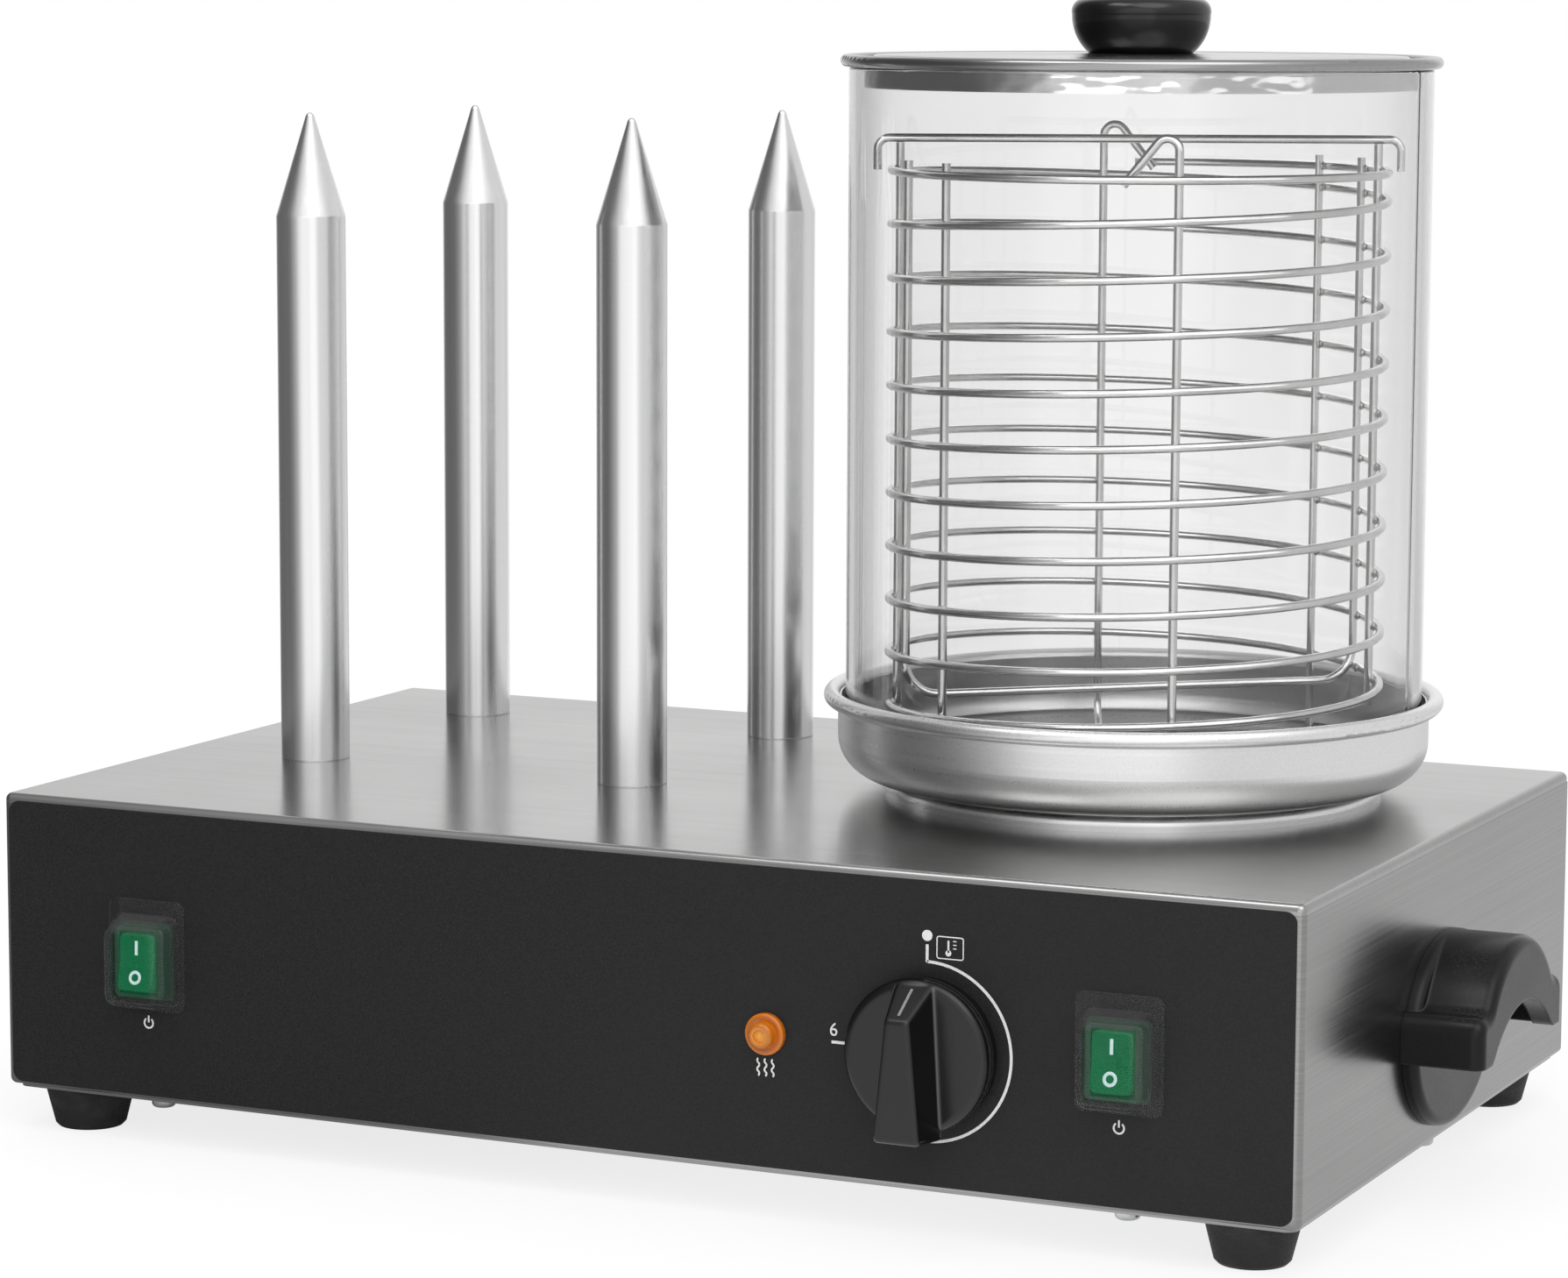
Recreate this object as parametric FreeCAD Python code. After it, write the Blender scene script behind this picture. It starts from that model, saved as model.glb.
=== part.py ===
"""Hot dog spike machine: a steel box with four heated spikes and a steaming pot.

Frame: X to the right, Y to the back, Z up, in millimetres.
The origin is on the resting surface, under the middle of the box.
"""
import FreeCAD, Part
import math
import os

os.makedirs("parts", exist_ok=True)

Vector = FreeCAD.Vector
X_AXIS = Vector(1, 0, 0)
Y_AXIS = Vector(0, 1, 0)
Z_AXIS = Vector(0, 0, 1)

# Box
body_width = 480.0
body_depth = 290.0
body_height = 105.0
foot_height = 15.0
sheet = 1.0
bend_radius = 2.5
fillet_step = 0.1
flange_width = 12.0
plate_corner = 4.0
fit_gap = 0.05

# Vent slots in the bottom and louvres in the back
vent_length = 52.0
vent_width = 4.0
vent_pitch_x = 80.0
vent_pitch_y = 24.0
vent_columns = 4
vent_rows = 5
louvre_length = 46.0
louvre_height = 3.0
louvre_pitch_x = 60.0
louvre_pitch_z = 9.0
louvre_drop = 26.0
louvre_columns = 4
louvre_rows = 5
slot_end_gap = 0.05

# Front overlay
fascia_thickness = 0.5
fascia_margin = 2.5
fascia_corner = 4.0

# Things on the top plate, from its side and back edges
pot_from_back = 110.0
pot_from_side = 127.0
spikes_from_side = 122.0
spike_spacing_x = 130.0
spike_spacing_y = 124.0

# Spikes
spike_radius = 12.5
spike_height = 235.0
spike_cone = 37.0
spike_tip_radius = 1.2
spike_tip_flat = 0.5
spike_tip_blend = 1.1
spike_tip_belly = 1.1
spike_tip_belly_drop = 0.43
spike_shoulder = 2.0
spike_stem_radius = spike_radius - spike_shoulder
spike_stem_length = 16.0
spike_stem_play = 0.3
spike_nut_wall = 4.5
spike_nut_flats = 2 * (spike_stem_radius + spike_nut_wall)
spike_nut_height = 6.0
spike_washer_rim = 6.5
spike_washer_radius = spike_stem_radius + spike_washer_rim
spike_washer_thickness = 1.6
heater_radius = 6.5
heater_below_cone = 33.0
heater_length = spike_height - spike_cone - heater_below_cone
heater_above_stem = 4.0
heater_end_gap = 2.0
heater_lead_radius = 1.2
heater_lead_length = 14.0
heater_lead_offset = 2.6

# Glass
glass_radius = 101.0
glass_wall = 3.0
glass_height = 239.0
glass_seat_gap = 0.3

# Dish and hot plate
dish_play = 2.6
dish_wall = 1.2
dish_outer_radius = glass_radius + dish_play
dish_corner_radius = 14.0
dish_rim_height = 34.0
dish_bead_radius = 2.8
hot_plate_inset = 2.1
hot_plate_radius = dish_outer_radius - dish_corner_radius - hot_plate_inset
hot_plate_rise = 6.0
hot_plate_edge = 4.0
hot_plate_flange = 8.0
hot_plate_spigot_radius = hot_plate_radius - hot_plate_flange
hot_plate_spigot_depth = 8.0
hot_plate_hole_play = 0.5
stud_radius = 4.0
stud_below_clamp = 12.0
stud_nut_flats = 13.0
stud_nut_height = 6.5
clamp_inset = 5.5
clamp_radius = hot_plate_spigot_radius - clamp_inset
clamp_thickness = 2.0
clamp_window_margin = 5.0
element_inset = 16.0
element_ring_radius = clamp_radius - element_inset
element_tube_radius = 4.0
element_end_gap = 14.0
element_pin_radius = 2.0
element_pin_length = 18.0

# Lid
lid_overhang = 3.0
lid_radius = glass_radius + lid_overhang
lid_sheet = 1.0
lid_bead_radius = 2.1
lid_crown = 3.9
lid_edge_crown = 3.1
lid_slope_width = 5.0
lid_knob_seat = 2.0
lid_skirt_depth = 7.0
lid_skirt_gap = 2.2
lid_knob_radius = 24.0
lid_knob_foot_radius = 18.0
lid_knob_height = 19.2
lid_knob_shoulder = 13.2
lid_knob_belly = 1.7
lid_knob_belly_height = 5.6
lid_knob_edge = 3.0
lid_knob_edge_bulge = 2.3
lid_knob_crown = 0.6
lid_knob_flat_radius = 4.8
lid_knob_hollow = 6.0
lid_screw_radius = 2.5
lid_screw_head = 5.5
lid_screw_head_height = 3.0
lid_screw_end_gap = 1.0

# Basket, with its heights above the top plate
wire_radius = 1.5
coil_from_glass = 12.0
coil_radius = glass_radius - glass_wall - coil_from_glass
coil_start_height = 31.0
weld_gap = 0.05
cross_wire_height = 37.0
frame_corner_radius = 12.0
hook_angle = -60.0
cross_angle = -140.0
leg_angle = -120.0
post_angle = -156.0
bar_below_glass_top = 24.5
bar_above_coil = 11.0
bar_above_uprights = 7.0
bar_overhang = 5.0
bar_half_span = coil_radius + bar_overhang
bar_end_drop = 11.0
bar_corner_radius = 4.0
hook_above_bar = 10.0
hook_drop = 23.0
hook_reach = 17.5
hook_inset = 6.0
hook_bend_radius = 4.0

# Front controls, from the sides, from the dial and down from the top plate
switch_from_left = 59.0
switch_from_right = 60.5
switch_drop = 54.4
lamp_from_dial = 57.0
lamp_drop = 57.8
dial_drop = 58.3

# Switches
rocker_width = 14.0
rocker_height = 20.0
rocker_play = 0.5
rocker_pivot_out = 4.2
rocker_proud = 4.2
rocker_shoulder = 1.5
rocker_corner = 2.2
rocker_round = 0.8
rocker_pin_radius = 1.6
rocker_pin_play = 0.06
rocker_tilt = 7.0
rocker_dip = 0.9
rocker_back = 4.5
pin_reach = 2.0
pin_cover = 0.5
switch_side_wall = 3.0
switch_end_wall = 2.5
switch_body_width = rocker_width + 2 * switch_side_wall
switch_body_height = rocker_height + 2 * switch_end_wall
switch_body_depth = 22.0
switch_collar = rocker_pivot_out + rocker_pin_radius + pin_cover
switch_collar_round = 1.0
switch_corner = 2.0
switch_bezel_lip = 1.0
switch_bezel_width = switch_body_width + 2 * switch_bezel_lip
switch_bezel_height = switch_body_height + 2 * switch_bezel_lip
switch_bezel_thickness = 1.2
tab_length = 9.0
tab_width = 4.8
tab_thickness = 0.8
boot_wall = 1.0
boot_side_gap = 1.25
boot_end_gap = 2.25
boot_dome_width = switch_bezel_width + 2 * (boot_wall + boot_side_gap)
boot_dome_height = switch_bezel_height + 2 * (boot_wall + boot_end_gap)
boot_dome_depth = 13.0
boot_taper_side = 3.0
boot_taper_top = 4.5
boot_taper_bottom = 2.5
boot_corner = 4.0
boot_dome_round = 2.6
boot_rim_side = 1.75
boot_rim_top = 4.5
boot_rim_bottom = 0.8
boot_flange = 1.2
boot_flange_corner = 3.0

# Lamp
lamp_flange_radius = 7.0
lamp_flange_thickness = 2.2
lamp_dome_radius = 4.4
lamp_dome_height = 3.4
lamp_flange_round = 0.9
lamp_dome_round = 1.4
lamp_recess_radius = 2.3
lamp_recess_depth = 0.7
lamp_body_radius = 4.9
lamp_body_length = 24.0
lamp_lead_length = 8.0
lamp_lead_radius = 0.8
lamp_lead_offset = 2.0
lamp_nut_flats = 16.0
lamp_nut_thickness = 3.0

# Thermostat and its dial
knob_radius = 25.3
dial_ring_inset = 0.7
dial_ring_radius = knob_radius - dial_ring_inset
dial_ring_thickness = 4.2
dial_ring_bore = 9.0
dial_ring_round = 1.2
knob_disc_thickness = 5.8
knob_gap = 0.5
knob_total = 25.0
grip_front_width = 8.0
grip_front_foot = 16.0
grip_back_width = 13.6
grip_back_foot = 19.0
knob_disc_round = 2.8
grip_slope = 12.0
grip_overhang = 1.2
grip_draft = 1.0
grip_back_drop = 2.4
grip_round = 1.5
shaft_radius = 3.0
shaft_play = 0.06
knob_shaft_cover = 5.0
shaft_in_body = 11.0
bush_radius = 5.5
bush_proud = 3.0
thermostat_width = 40.0
thermostat_height = 34.0
thermostat_depth = 24.0
thermostat_corner = 3.0
dial_screw_offset = 14.0
dial_screw_radius = 2.0
dial_screw_head = 3.6
dial_screw_head_height = 2.2
dial_screw_length = 6.5
dial_screw_seat = 1.4
terminal_tab_pitch = 12.0
terminal_tab_width = 6.4
terminal_tab_drop = 10.0

# Handles
handle_half_width = 46.0
handle_plate_half_width = 44.0
handle_half_height = 33.0
handle_rise = 39.0
handle_reach = 28.0
handle_plate = 5.0
handle_wall = 7.5
handle_end_wall = 7.0
handle_leg_level = -4.0
handle_shoulder_height = 16.8
handle_shoulder_round = 5.5
handle_neck_radius = 8.0
handle_notch_half_width = 40.0
handle_notch_height = 15.0
handle_notch_neck = 12.0
handle_plate_round = 3.0
handle_hood_round = 4.0
handle_screw_spacing = 44.0
handle_screw_radius = 2.5
handle_screw_head = 4.5
handle_screw_head_height = 2.8
handle_screw_cover = 1.0

# Feet
foot_top_radius = 16.0
foot_taper = 3.5
foot_bottom_radius = foot_top_radius - foot_taper
foot_side_margin = 6.0
foot_end_margin = 3.0
foot_from_side = foot_top_radius + foot_side_margin
foot_from_front = foot_top_radius + foot_end_margin
foot_bore = 2.8
foot_recess_radius = 6.0
foot_recess_depth = 9.0
foot_edge_height = 1.2
foot_screw_radius = 2.5
foot_screw_head = 4.8
foot_screw_head_height = 2.8
foot_screw_end = 6.0
foot_nut_flats = 8.0
foot_nut_height = 4.0

# Screws of the covers
cover_screw_radius = 2.0
cover_screw_head = 4.2
cover_screw_head_height = 2.6
cover_screw_length = 9.0
bottom_screw_from_side = 60.0
bottom_screw_inset = 7.0
back_screw_inset = 6.0
back_screw_from_end = 16.0

# Cable gland
gland_from_side = 50.0
earth_from_gland = 40.0
gland_rise = 28.0
gland_bore = 5.0
gland_body_radius = 10.0
gland_stem_radius = 8.0
gland_nut_flats = 24.0
gland_nut_thickness = 5.0
gland_collar = 6.0
gland_round = 3.5
gland_out = 25.5
gland_in = 12.0

# Earth stud
earth_radius = 3.0
earth_nut_flats = 10.0
earth_nut_height = 5.0
earth_out = 12.0
earth_in = 14.0

# Sensor and cut-out under the hot plate
bulb_radius = 3.0
bulb_length = 60.0
bulb_offset = 30.0
bulb_gap = 0.2
sensor_tube_radius = 1.0
sensor_tube_bend = 8.0
sensor_tube_drop = 8.0
sensor_tube_run = 30.0
sensor_tube_lead = 18.0
cutout_radius = 8.0
cutout_height = 9.0
cutout_angle = 150.0
cutout_distance = 45.0
cutout_tab_offset = 4.5
cutout_tab_length = 8.0
cutout_tab_width = 6.0

# Terminal block and wiring on the bottom plate
terminal_from_side = 120.0
terminal_from_back = 50.0
terminal_depth = 22.0
terminal_height = 16.0
terminal_pitch = 12.0
terminal_ways = 6
terminal_pocket = 9.0
terminal_pocket_depth = 6.0
terminal_pocket_height = 8.0
terminal_pocket_level = 5.0
terminal_screw_radius = 2.2
terminal_screw_level = 8.0
lead_radius = 1.6
lead_bend = 5.0
lead_run = 22.0
lead_lift = 3.0
lead_gap = 0.2

# Levels that follow from the sizes above
bottom = foot_height
top = foot_height + body_height
half_width = body_width / 2
half_depth = body_depth / 2
front = -half_depth
back = half_depth
fascia_front = front - fascia_thickness
front_inside = front + sheet
hot_plate_top = top + hot_plate_rise
dish_floor = hot_plate_top + dish_wall
set_back = half_depth - pot_from_back
pot_x = half_width - pot_from_side
spike_group_x = spikes_from_side - half_width
dial_x = pot_x
pot_axis = Vector(pot_x, set_back, 0)


def block(x0, x1, y0, y1, z0, z1):
    """A box between two corners."""
    return Part.makeBox(x1 - x0, y1 - y0, z1 - z0, Vector(x0, y0, z0))


def rod(radius, start, end):
    """A round bar between two points."""
    along = end - start
    return Part.makeCylinder(radius, along.Length, start, along)


def tube(outer, inner, start, end):
    """A round bar with a bore right through."""
    return rod(outer, start, end).cut(rod(inner, start, end))


def fused(shapes):
    """One solid from pieces that touch or cross."""
    whole = shapes[0]
    for shape in shapes[1:]:
        whole = whole.fuse(shape)
    return whole.removeSplitter()


def edges_along(shape, axis):
    """The straight edges that run along an axis."""
    found = []
    for edge in shape.Edges:
        if edge.Curve.TypeId != "Part::GeomLine":
            continue
        if abs(edge.tangentAt(edge.FirstParameter).dot(axis)) > 0.999:
            found.append(edge)
    return found


def rounded_block(x0, x1, y0, y1, z0, z1, radius, axis):
    """A box whose four edges along an axis are rounded."""
    shape = block(x0, x1, y0, y1, z0, z1)
    return shape.makeFillet(radius, edges_along(shape, axis))


def line(a, b):
    return Part.LineSegment(a, b).toShape()


def arc(a, middle, b):
    return Part.Arc(a, middle, b).toShape()


def polygon(points):
    """A flat face with straight sides."""
    return Part.Face(Part.makePolygon(points + [points[0]]))


def turned(edges, x, y):
    """A solid of revolution about a vertical axis, from edges given at x=radius, y=0."""
    face = Part.Face(Part.Wire(edges))
    solid = face.revolve(Vector(0, 0, 0), Z_AXIS, 360)
    solid.translate(Vector(x, y, 0))
    return solid


def turned_polygon(points, x, y):
    """A turned solid whose section has straight sides, as (radius, height) pairs."""
    corners = [Vector(r, 0, z) for r, z in points]
    closed = corners + [corners[0]]
    edges = [line(a, b) for a, b in zip(closed, closed[1:])]
    return turned(edges, x, y)


def bent_path(points, radii):
    """Straight runs through the points, joined by tangent arcs at the inner points."""
    edges = []
    at = points[0]
    for before, corner, after, radius in zip(points, points[1:], points[2:], radii):
        into = (corner - before).normalize()
        out = (after - corner).normalize()
        turn = math.acos(max(-1.0, min(1.0, into.dot(out))))
        setback = radius * math.tan(turn / 2)
        start = corner - into * setback
        end = corner + out * setback
        inward = (out - into).normalize()
        centre = corner + inward * (radius / math.cos(turn / 2))
        edges.append(line(at, start))
        edges.append(arc(start, centre - inward * radius, end))
        at = end
    edges.append(line(at, points[-1]))
    return edges


def swept(edges, radius):
    """A round wire or tube along a path."""
    path = Part.Wire(edges)
    first = edges[0]
    start = first.valueAt(first.FirstParameter)
    heading = first.tangentAt(first.FirstParameter)
    ring = Part.Wire(Part.makeCircle(radius, start, heading))
    return path.makePipeShell([ring], True, False)


def bent_wire(points, bend, radius):
    """A wire through points with the same bend at each inner one."""
    return swept(bent_path(points, [bend] * (len(points) - 2)), radius)


def hexagon(flats, start, end):
    """A hexagonal bar between two points."""
    along = end - start
    side = Vector(0, 0, 1) if abs(along.z) < 0.5 * along.Length else Vector(1, 0, 0)
    other = along.cross(side).normalize()
    reach = flats / math.sqrt(3)
    corners = []
    for k in range(6):
        angle = math.radians(60 * k)
        corners.append(start + side * (reach * math.cos(angle)) + other * (reach * math.sin(angle)))
    return polygon(corners).extrude(along)


def nut(flats, bore, start, end):
    """A hexagonal nut between two points on its axis."""
    return hexagon(flats, start, end).cut(rod(bore, start, end))


def pan_screw(radius, length, head_radius, head_height, seat, inward):
    """A pan head screw: seat is under the head, inward points along the shank."""
    head_end = seat - inward * head_height
    head = rod(head_radius, seat, head_end)
    rim = [e for e in head.Edges if e.Length > 2 * head_radius and
           abs((e.CenterOfMass - head_end).dot(inward)) < 1e-6]
    head = head.makeFillet(head_height * 0.6, rim)
    shank = rod(radius, seat, seat + inward * length)
    screw = fused([head, shank])
    slot_width = head_radius * 0.22
    slot_length = head_radius * 0.6
    slot_depth = head_height * 0.5
    side = X_AXIS if abs(inward.x) < 0.5 else Y_AXIS
    for direction in (side, inward.cross(side)):
        across = inward.cross(direction)
        corner = head_end - direction * slot_length - across * slot_width
        base = polygon([corner,
                        corner + direction * (2 * slot_length),
                        corner + direction * (2 * slot_length) + across * (2 * slot_width),
                        corner + across * (2 * slot_width)])
        screw = screw.cut(base.extrude(inward * slot_depth))
    return screw


def around(angle, radius, height):
    """A point about the pot's axis, with its height above the top plate."""
    turn = math.radians(angle)
    return Vector(pot_x + radius * math.cos(turn), set_back + radius * math.sin(turn), top + height)


def save(name, shapes):
    """Write one node; several separate solids make a group."""
    if not isinstance(shapes, list):
        shapes = [shapes]
    solids = []
    for shape in shapes:
        solids.extend(shape.Solids)
    result = solids[0] if len(solids) == 1 else Part.makeCompound(solids)
    if not result.isValid():
        raise ValueError(name + " is not a valid solid")
    result.exportStep("parts/" + name + ".step")


spike_places = []
for column in (-0.5, 0.5):
    for row in (-0.5, 0.5):
        spike_places.append(Vector(spike_group_x + column * spike_spacing_x,
                                   set_back + row * spike_spacing_y, 0))
spike_names = ["front_left", "back_left", "front_right", "back_right"]

# Top sheet: the plate with its short bent edges
lip = bend_radius + sheet


def top_sheet():
    outer = block(-half_width, half_width, front, back, top - lip, top)
    outer = outer.makeFillet(bend_radius, edges_along(outer, Z_AXIS))
    upper = [e for e in outer.Edges if abs(e.CenterOfMass.z - top) < 1e-6]
    outer = outer.makeFillet(bend_radius - fillet_step, upper)
    inner = block(-half_width + sheet, half_width - sheet, front + sheet, back - sheet,
                  top - lip, top - sheet)
    inner = inner.makeFillet(bend_radius - sheet, edges_along(inner, Z_AXIS))
    upper = [e for e in inner.Edges if abs(e.CenterOfMass.z - (top - sheet)) < 1e-6]
    inner = inner.makeFillet(bend_radius - sheet - fillet_step, upper)
    plate = outer.cut(inner)
    for place in spike_places:
        plate = plate.cut(rod(spike_stem_radius + spike_stem_play,
                              place + Z_AXIS * (top - lip), place + Z_AXIS * (top + 1)))
    plate = plate.cut(rod(hot_plate_spigot_radius + hot_plate_hole_play,
                          pot_axis + Z_AXIS * (top - lip), pot_axis + Z_AXIS * (top + 1)))
    return plate


save("top_sheet", top_sheet())

# Front and sides: one sheet folded round the box
wrap_bottom = bottom + sheet + fit_gap
wrap_top = top - lip - fit_gap
wrap_back = back - sheet - fit_gap
switch_places = [Vector(switch_from_left - half_width, 0, top - switch_drop),
                 Vector(half_width - switch_from_right, 0, top - switch_drop)]
lamp_place = Vector(dial_x - lamp_from_dial, 0, top - lamp_drop)
dial_place = Vector(dial_x, 0, top - dial_drop)
dial_screw_places = [dial_place + X_AXIS * dial_screw_offset,
                     dial_place - X_AXIS * dial_screw_offset]
handle_level = bottom + handle_rise
handle_screw_places = [Vector(0, -handle_screw_spacing / 2, handle_level),
                       Vector(0, handle_screw_spacing / 2, handle_level)]


def front_openings(y0, y1):
    """What is cut through the front sheet and its overlay."""
    cuts = []
    for place in switch_places:
        cuts.append(block(place.x - switch_body_width / 2 - fit_gap,
                          place.x + switch_body_width / 2 + fit_gap, y0, y1,
                          place.z - switch_body_height / 2 - fit_gap,
                          place.z + switch_body_height / 2 + fit_gap))
    for place, radius in ((lamp_place, lamp_body_radius + fit_gap),
                          (dial_place, bush_radius + fit_gap),
                          (dial_screw_places[0], dial_screw_radius + fit_gap),
                          (dial_screw_places[1], dial_screw_radius + fit_gap)):
        cuts.append(rod(radius, place + Y_AXIS * y0, place + Y_AXIS * y1))
    return cuts


def body_wrap():
    outer = block(-half_width, half_width, front, wrap_back, wrap_bottom, wrap_top)
    corners = [e for e in edges_along(outer, Z_AXIS) if e.CenterOfMass.y < 0]
    outer = outer.makeFillet(bend_radius, corners)
    lower = [e for e in outer.Edges
             if abs(e.CenterOfMass.z - wrap_bottom) < 1e-6 and e.CenterOfMass.y < wrap_back - 1]
    outer = outer.makeFillet(bend_radius - fillet_step, lower)
    inner = block(-half_width + sheet, half_width - sheet, front + sheet, back + 1,
                  wrap_bottom + sheet, top + 1)
    corners = [e for e in edges_along(inner, Z_AXIS) if e.CenterOfMass.y < 0]
    inner = inner.makeFillet(bend_radius - sheet, corners)
    shell = outer.cut(inner)
    shell = shell.cut(block(-half_width + flange_width, half_width - flange_width,
                            front + flange_width, back + 1, wrap_bottom - 1, wrap_bottom + sheet + 1))
    flanges = []
    for side in (-1, 1):
        x0, x1 = sorted((side * (half_width - sheet), side * (half_width - flange_width)))
        flanges.append(block(x0, x1, wrap_back - sheet, wrap_back, wrap_bottom + sheet, wrap_top))
    shell = fused([shell] + flanges)
    for cut in front_openings(front - 1, front + flange_width):
        shell = shell.cut(cut)
    for side in (-1, 1):
        for place in handle_screw_places:
            shell = shell.cut(rod(handle_screw_radius + fit_gap,
                                  place + X_AXIS * side * (half_width - flange_width),
                                  place + X_AXIS * side * (half_width + 1)))
    return shell


def bottom_screw_points():
    points = []
    reach = half_width - bottom_screw_from_side
    for x in (-reach, reach):
        points.append(Vector(x, front + bottom_screw_inset, bottom))
        points.append(Vector(x, back - bottom_screw_inset, bottom))
    for x in (-half_width + bottom_screw_inset, half_width - bottom_screw_inset):
        points.append(Vector(x, 0, bottom))
    return points


def back_screw_points():
    points = []
    for x in (-half_width + back_screw_inset, half_width - back_screw_inset):
        for z in (wrap_bottom + back_screw_from_end, wrap_top - back_screw_from_end):
            points.append(Vector(x, back, z))
    return points


def bored(shape, points, direction, radius):
    """Cut a clearance hole through a shape at each point."""
    for point in points:
        shape = shape.cut(rod(radius, point - direction * cover_screw_length,
                              point + direction * (cover_screw_length + 1)))
    return shape


wrap = body_wrap()
wrap = bored(wrap, bottom_screw_points(), Z_AXIS, cover_screw_radius + fit_gap)
wrap = bored(wrap, back_screw_points(), Y_AXIS, cover_screw_radius + fit_gap)
save("body_wrap", wrap)

# Back panel with its louvres, gland hole and lower flange
gland_place = Vector(half_width - gland_from_side, back, bottom + gland_rise)
earth_place = gland_place - X_AXIS * earth_from_gland


def back_panel():
    edge = half_width - sheet
    panel = block(-edge, edge, back - sheet, back, wrap_bottom, wrap_top)
    panel = panel.makeFillet(sheet, edges_along(panel, Y_AXIS))
    first = -louvre_pitch_x * (louvre_columns - 1) / 2 - louvre_length / 2
    for column in range(louvre_columns):
        for row in range(louvre_rows):
            x = first + column * louvre_pitch_x
            z = top - louvre_drop - row * louvre_pitch_z
            slot = block(x, x + louvre_length, back - 2 * sheet, back + 1, z - louvre_height, z)
            slot = slot.makeFillet(louvre_height / 2 - slot_end_gap, edges_along(slot, Y_AXIS))
            panel = panel.cut(slot)
    for place, radius in ((gland_place, gland_stem_radius), (earth_place, earth_radius)):
        panel = panel.cut(rod(radius + fit_gap, place - Y_AXIS * 2 * sheet, place + Y_AXIS))
    flange = block(-half_width + flange_width + 1, half_width - flange_width - 1,
                   back - flange_width, back - sheet, wrap_bottom, wrap_bottom + sheet)
    return fused([panel, flange])


panel = bored(back_panel(), bottom_screw_points(), Z_AXIS, cover_screw_radius + fit_gap)
panel = bored(panel, back_screw_points(), Y_AXIS, cover_screw_radius + fit_gap)
save("back_panel", panel)

# Bottom plate with vent slots
floor = bottom + sheet
foot_x = half_width - foot_from_side
foot_y = half_depth - foot_from_front
foot_places = [Vector(x, y, 0) for x in (-foot_x, foot_x) for y in (-foot_y, foot_y)]
foot_names = ["front_left", "back_left", "front_right", "back_right"]


def bottom_plate():
    edge = bend_radius
    plate = block(-half_width + edge, half_width - edge, front + edge, back - edge, bottom, bottom + sheet)
    plate = plate.makeFillet(plate_corner, edges_along(plate, Z_AXIS))
    x_reach = vent_length / 2
    y_reach = vent_width / 2
    for column in range(vent_columns):
        for row in range(vent_rows):
            x = (column - (vent_columns - 1) / 2) * vent_pitch_x
            y = (row - (vent_rows - 1) / 2) * vent_pitch_y
            slot = block(x - x_reach, x + x_reach, y - y_reach, y + y_reach, bottom - 1, floor + 1)
            slot = slot.makeFillet(vent_width / 2 - slot_end_gap, edges_along(slot, Z_AXIS))
            plate = plate.cut(slot)
    for place in foot_places:
        plate = plate.cut(rod(foot_screw_radius + fit_gap, place, place + Z_AXIS * (floor + 1)))
    return bored(plate, bottom_screw_points(), Z_AXIS, cover_screw_radius + fit_gap)


save("bottom_plate", bottom_plate())
save("bottom_screws", [pan_screw(cover_screw_radius, cover_screw_length, cover_screw_head,
                                 cover_screw_head_height, point, Z_AXIS)
                       for point in bottom_screw_points()])
save("back_screws", [pan_screw(cover_screw_radius, cover_screw_length, cover_screw_head,
                               cover_screw_head_height, point, -Y_AXIS)
                     for point in back_screw_points()])

# Feet: rubber cones, each held by a screw in its recess


def foot(place):
    body = turned_polygon([(foot_bore, foot_recess_depth), (foot_bore, foot_height),
                           (foot_top_radius, foot_height), (foot_bottom_radius, foot_edge_height),
                           (foot_bottom_radius - foot_edge_height, 0.0), (foot_recess_radius, 0.0),
                           (foot_recess_radius, foot_recess_depth)], place.x, place.y)
    return body


def foot_screw(place):
    seat = place + Z_AXIS * foot_recess_depth
    length = foot_height - foot_recess_depth + sheet + foot_screw_end
    screw = pan_screw(foot_screw_radius, length, foot_screw_head, foot_screw_head_height, seat, Z_AXIS)
    nut_start = place + Z_AXIS * floor
    return [screw, nut(foot_nut_flats, foot_screw_radius, nut_start, nut_start + Z_AXIS * foot_nut_height)]


for name, place in zip(foot_names, foot_places):
    save("foot_" + name, foot(place))
save("foot_screws", [piece[0] for piece in map(foot_screw, foot_places)])
save("foot_nuts", [piece[1] for piece in map(foot_screw, foot_places)])

# Front overlay: the black skin over the front sheet


def front_fascia():
    skin = block(-half_width + fascia_margin, half_width - fascia_margin, fascia_front, front,
                 bottom + fascia_margin, top - fascia_margin)
    skin = skin.makeFillet(fascia_corner, edges_along(skin, Y_AXIS))
    for cut in front_openings(fascia_front - 1, front + 1):
        skin = skin.cut(cut)
    return skin


save("front_fascia", front_fascia())

# Handles: an oval plate with a hood that is open below


def oval(half_y, half_z, x0, x1, level):
    """An oval bar along X, centred at a height."""
    face = Part.Face(Part.Wire(Part.Ellipse(Vector(0, 0, 0), half_y, half_z).toShape()))
    upright = FreeCAD.Rotation(Y_AXIS, Z_AXIS, X_AXIS)
    face.Placement = FreeCAD.Placement(Vector(x0, 0, level), upright)
    return face.extrude(Vector(x1 - x0, 0, 0))


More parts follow.
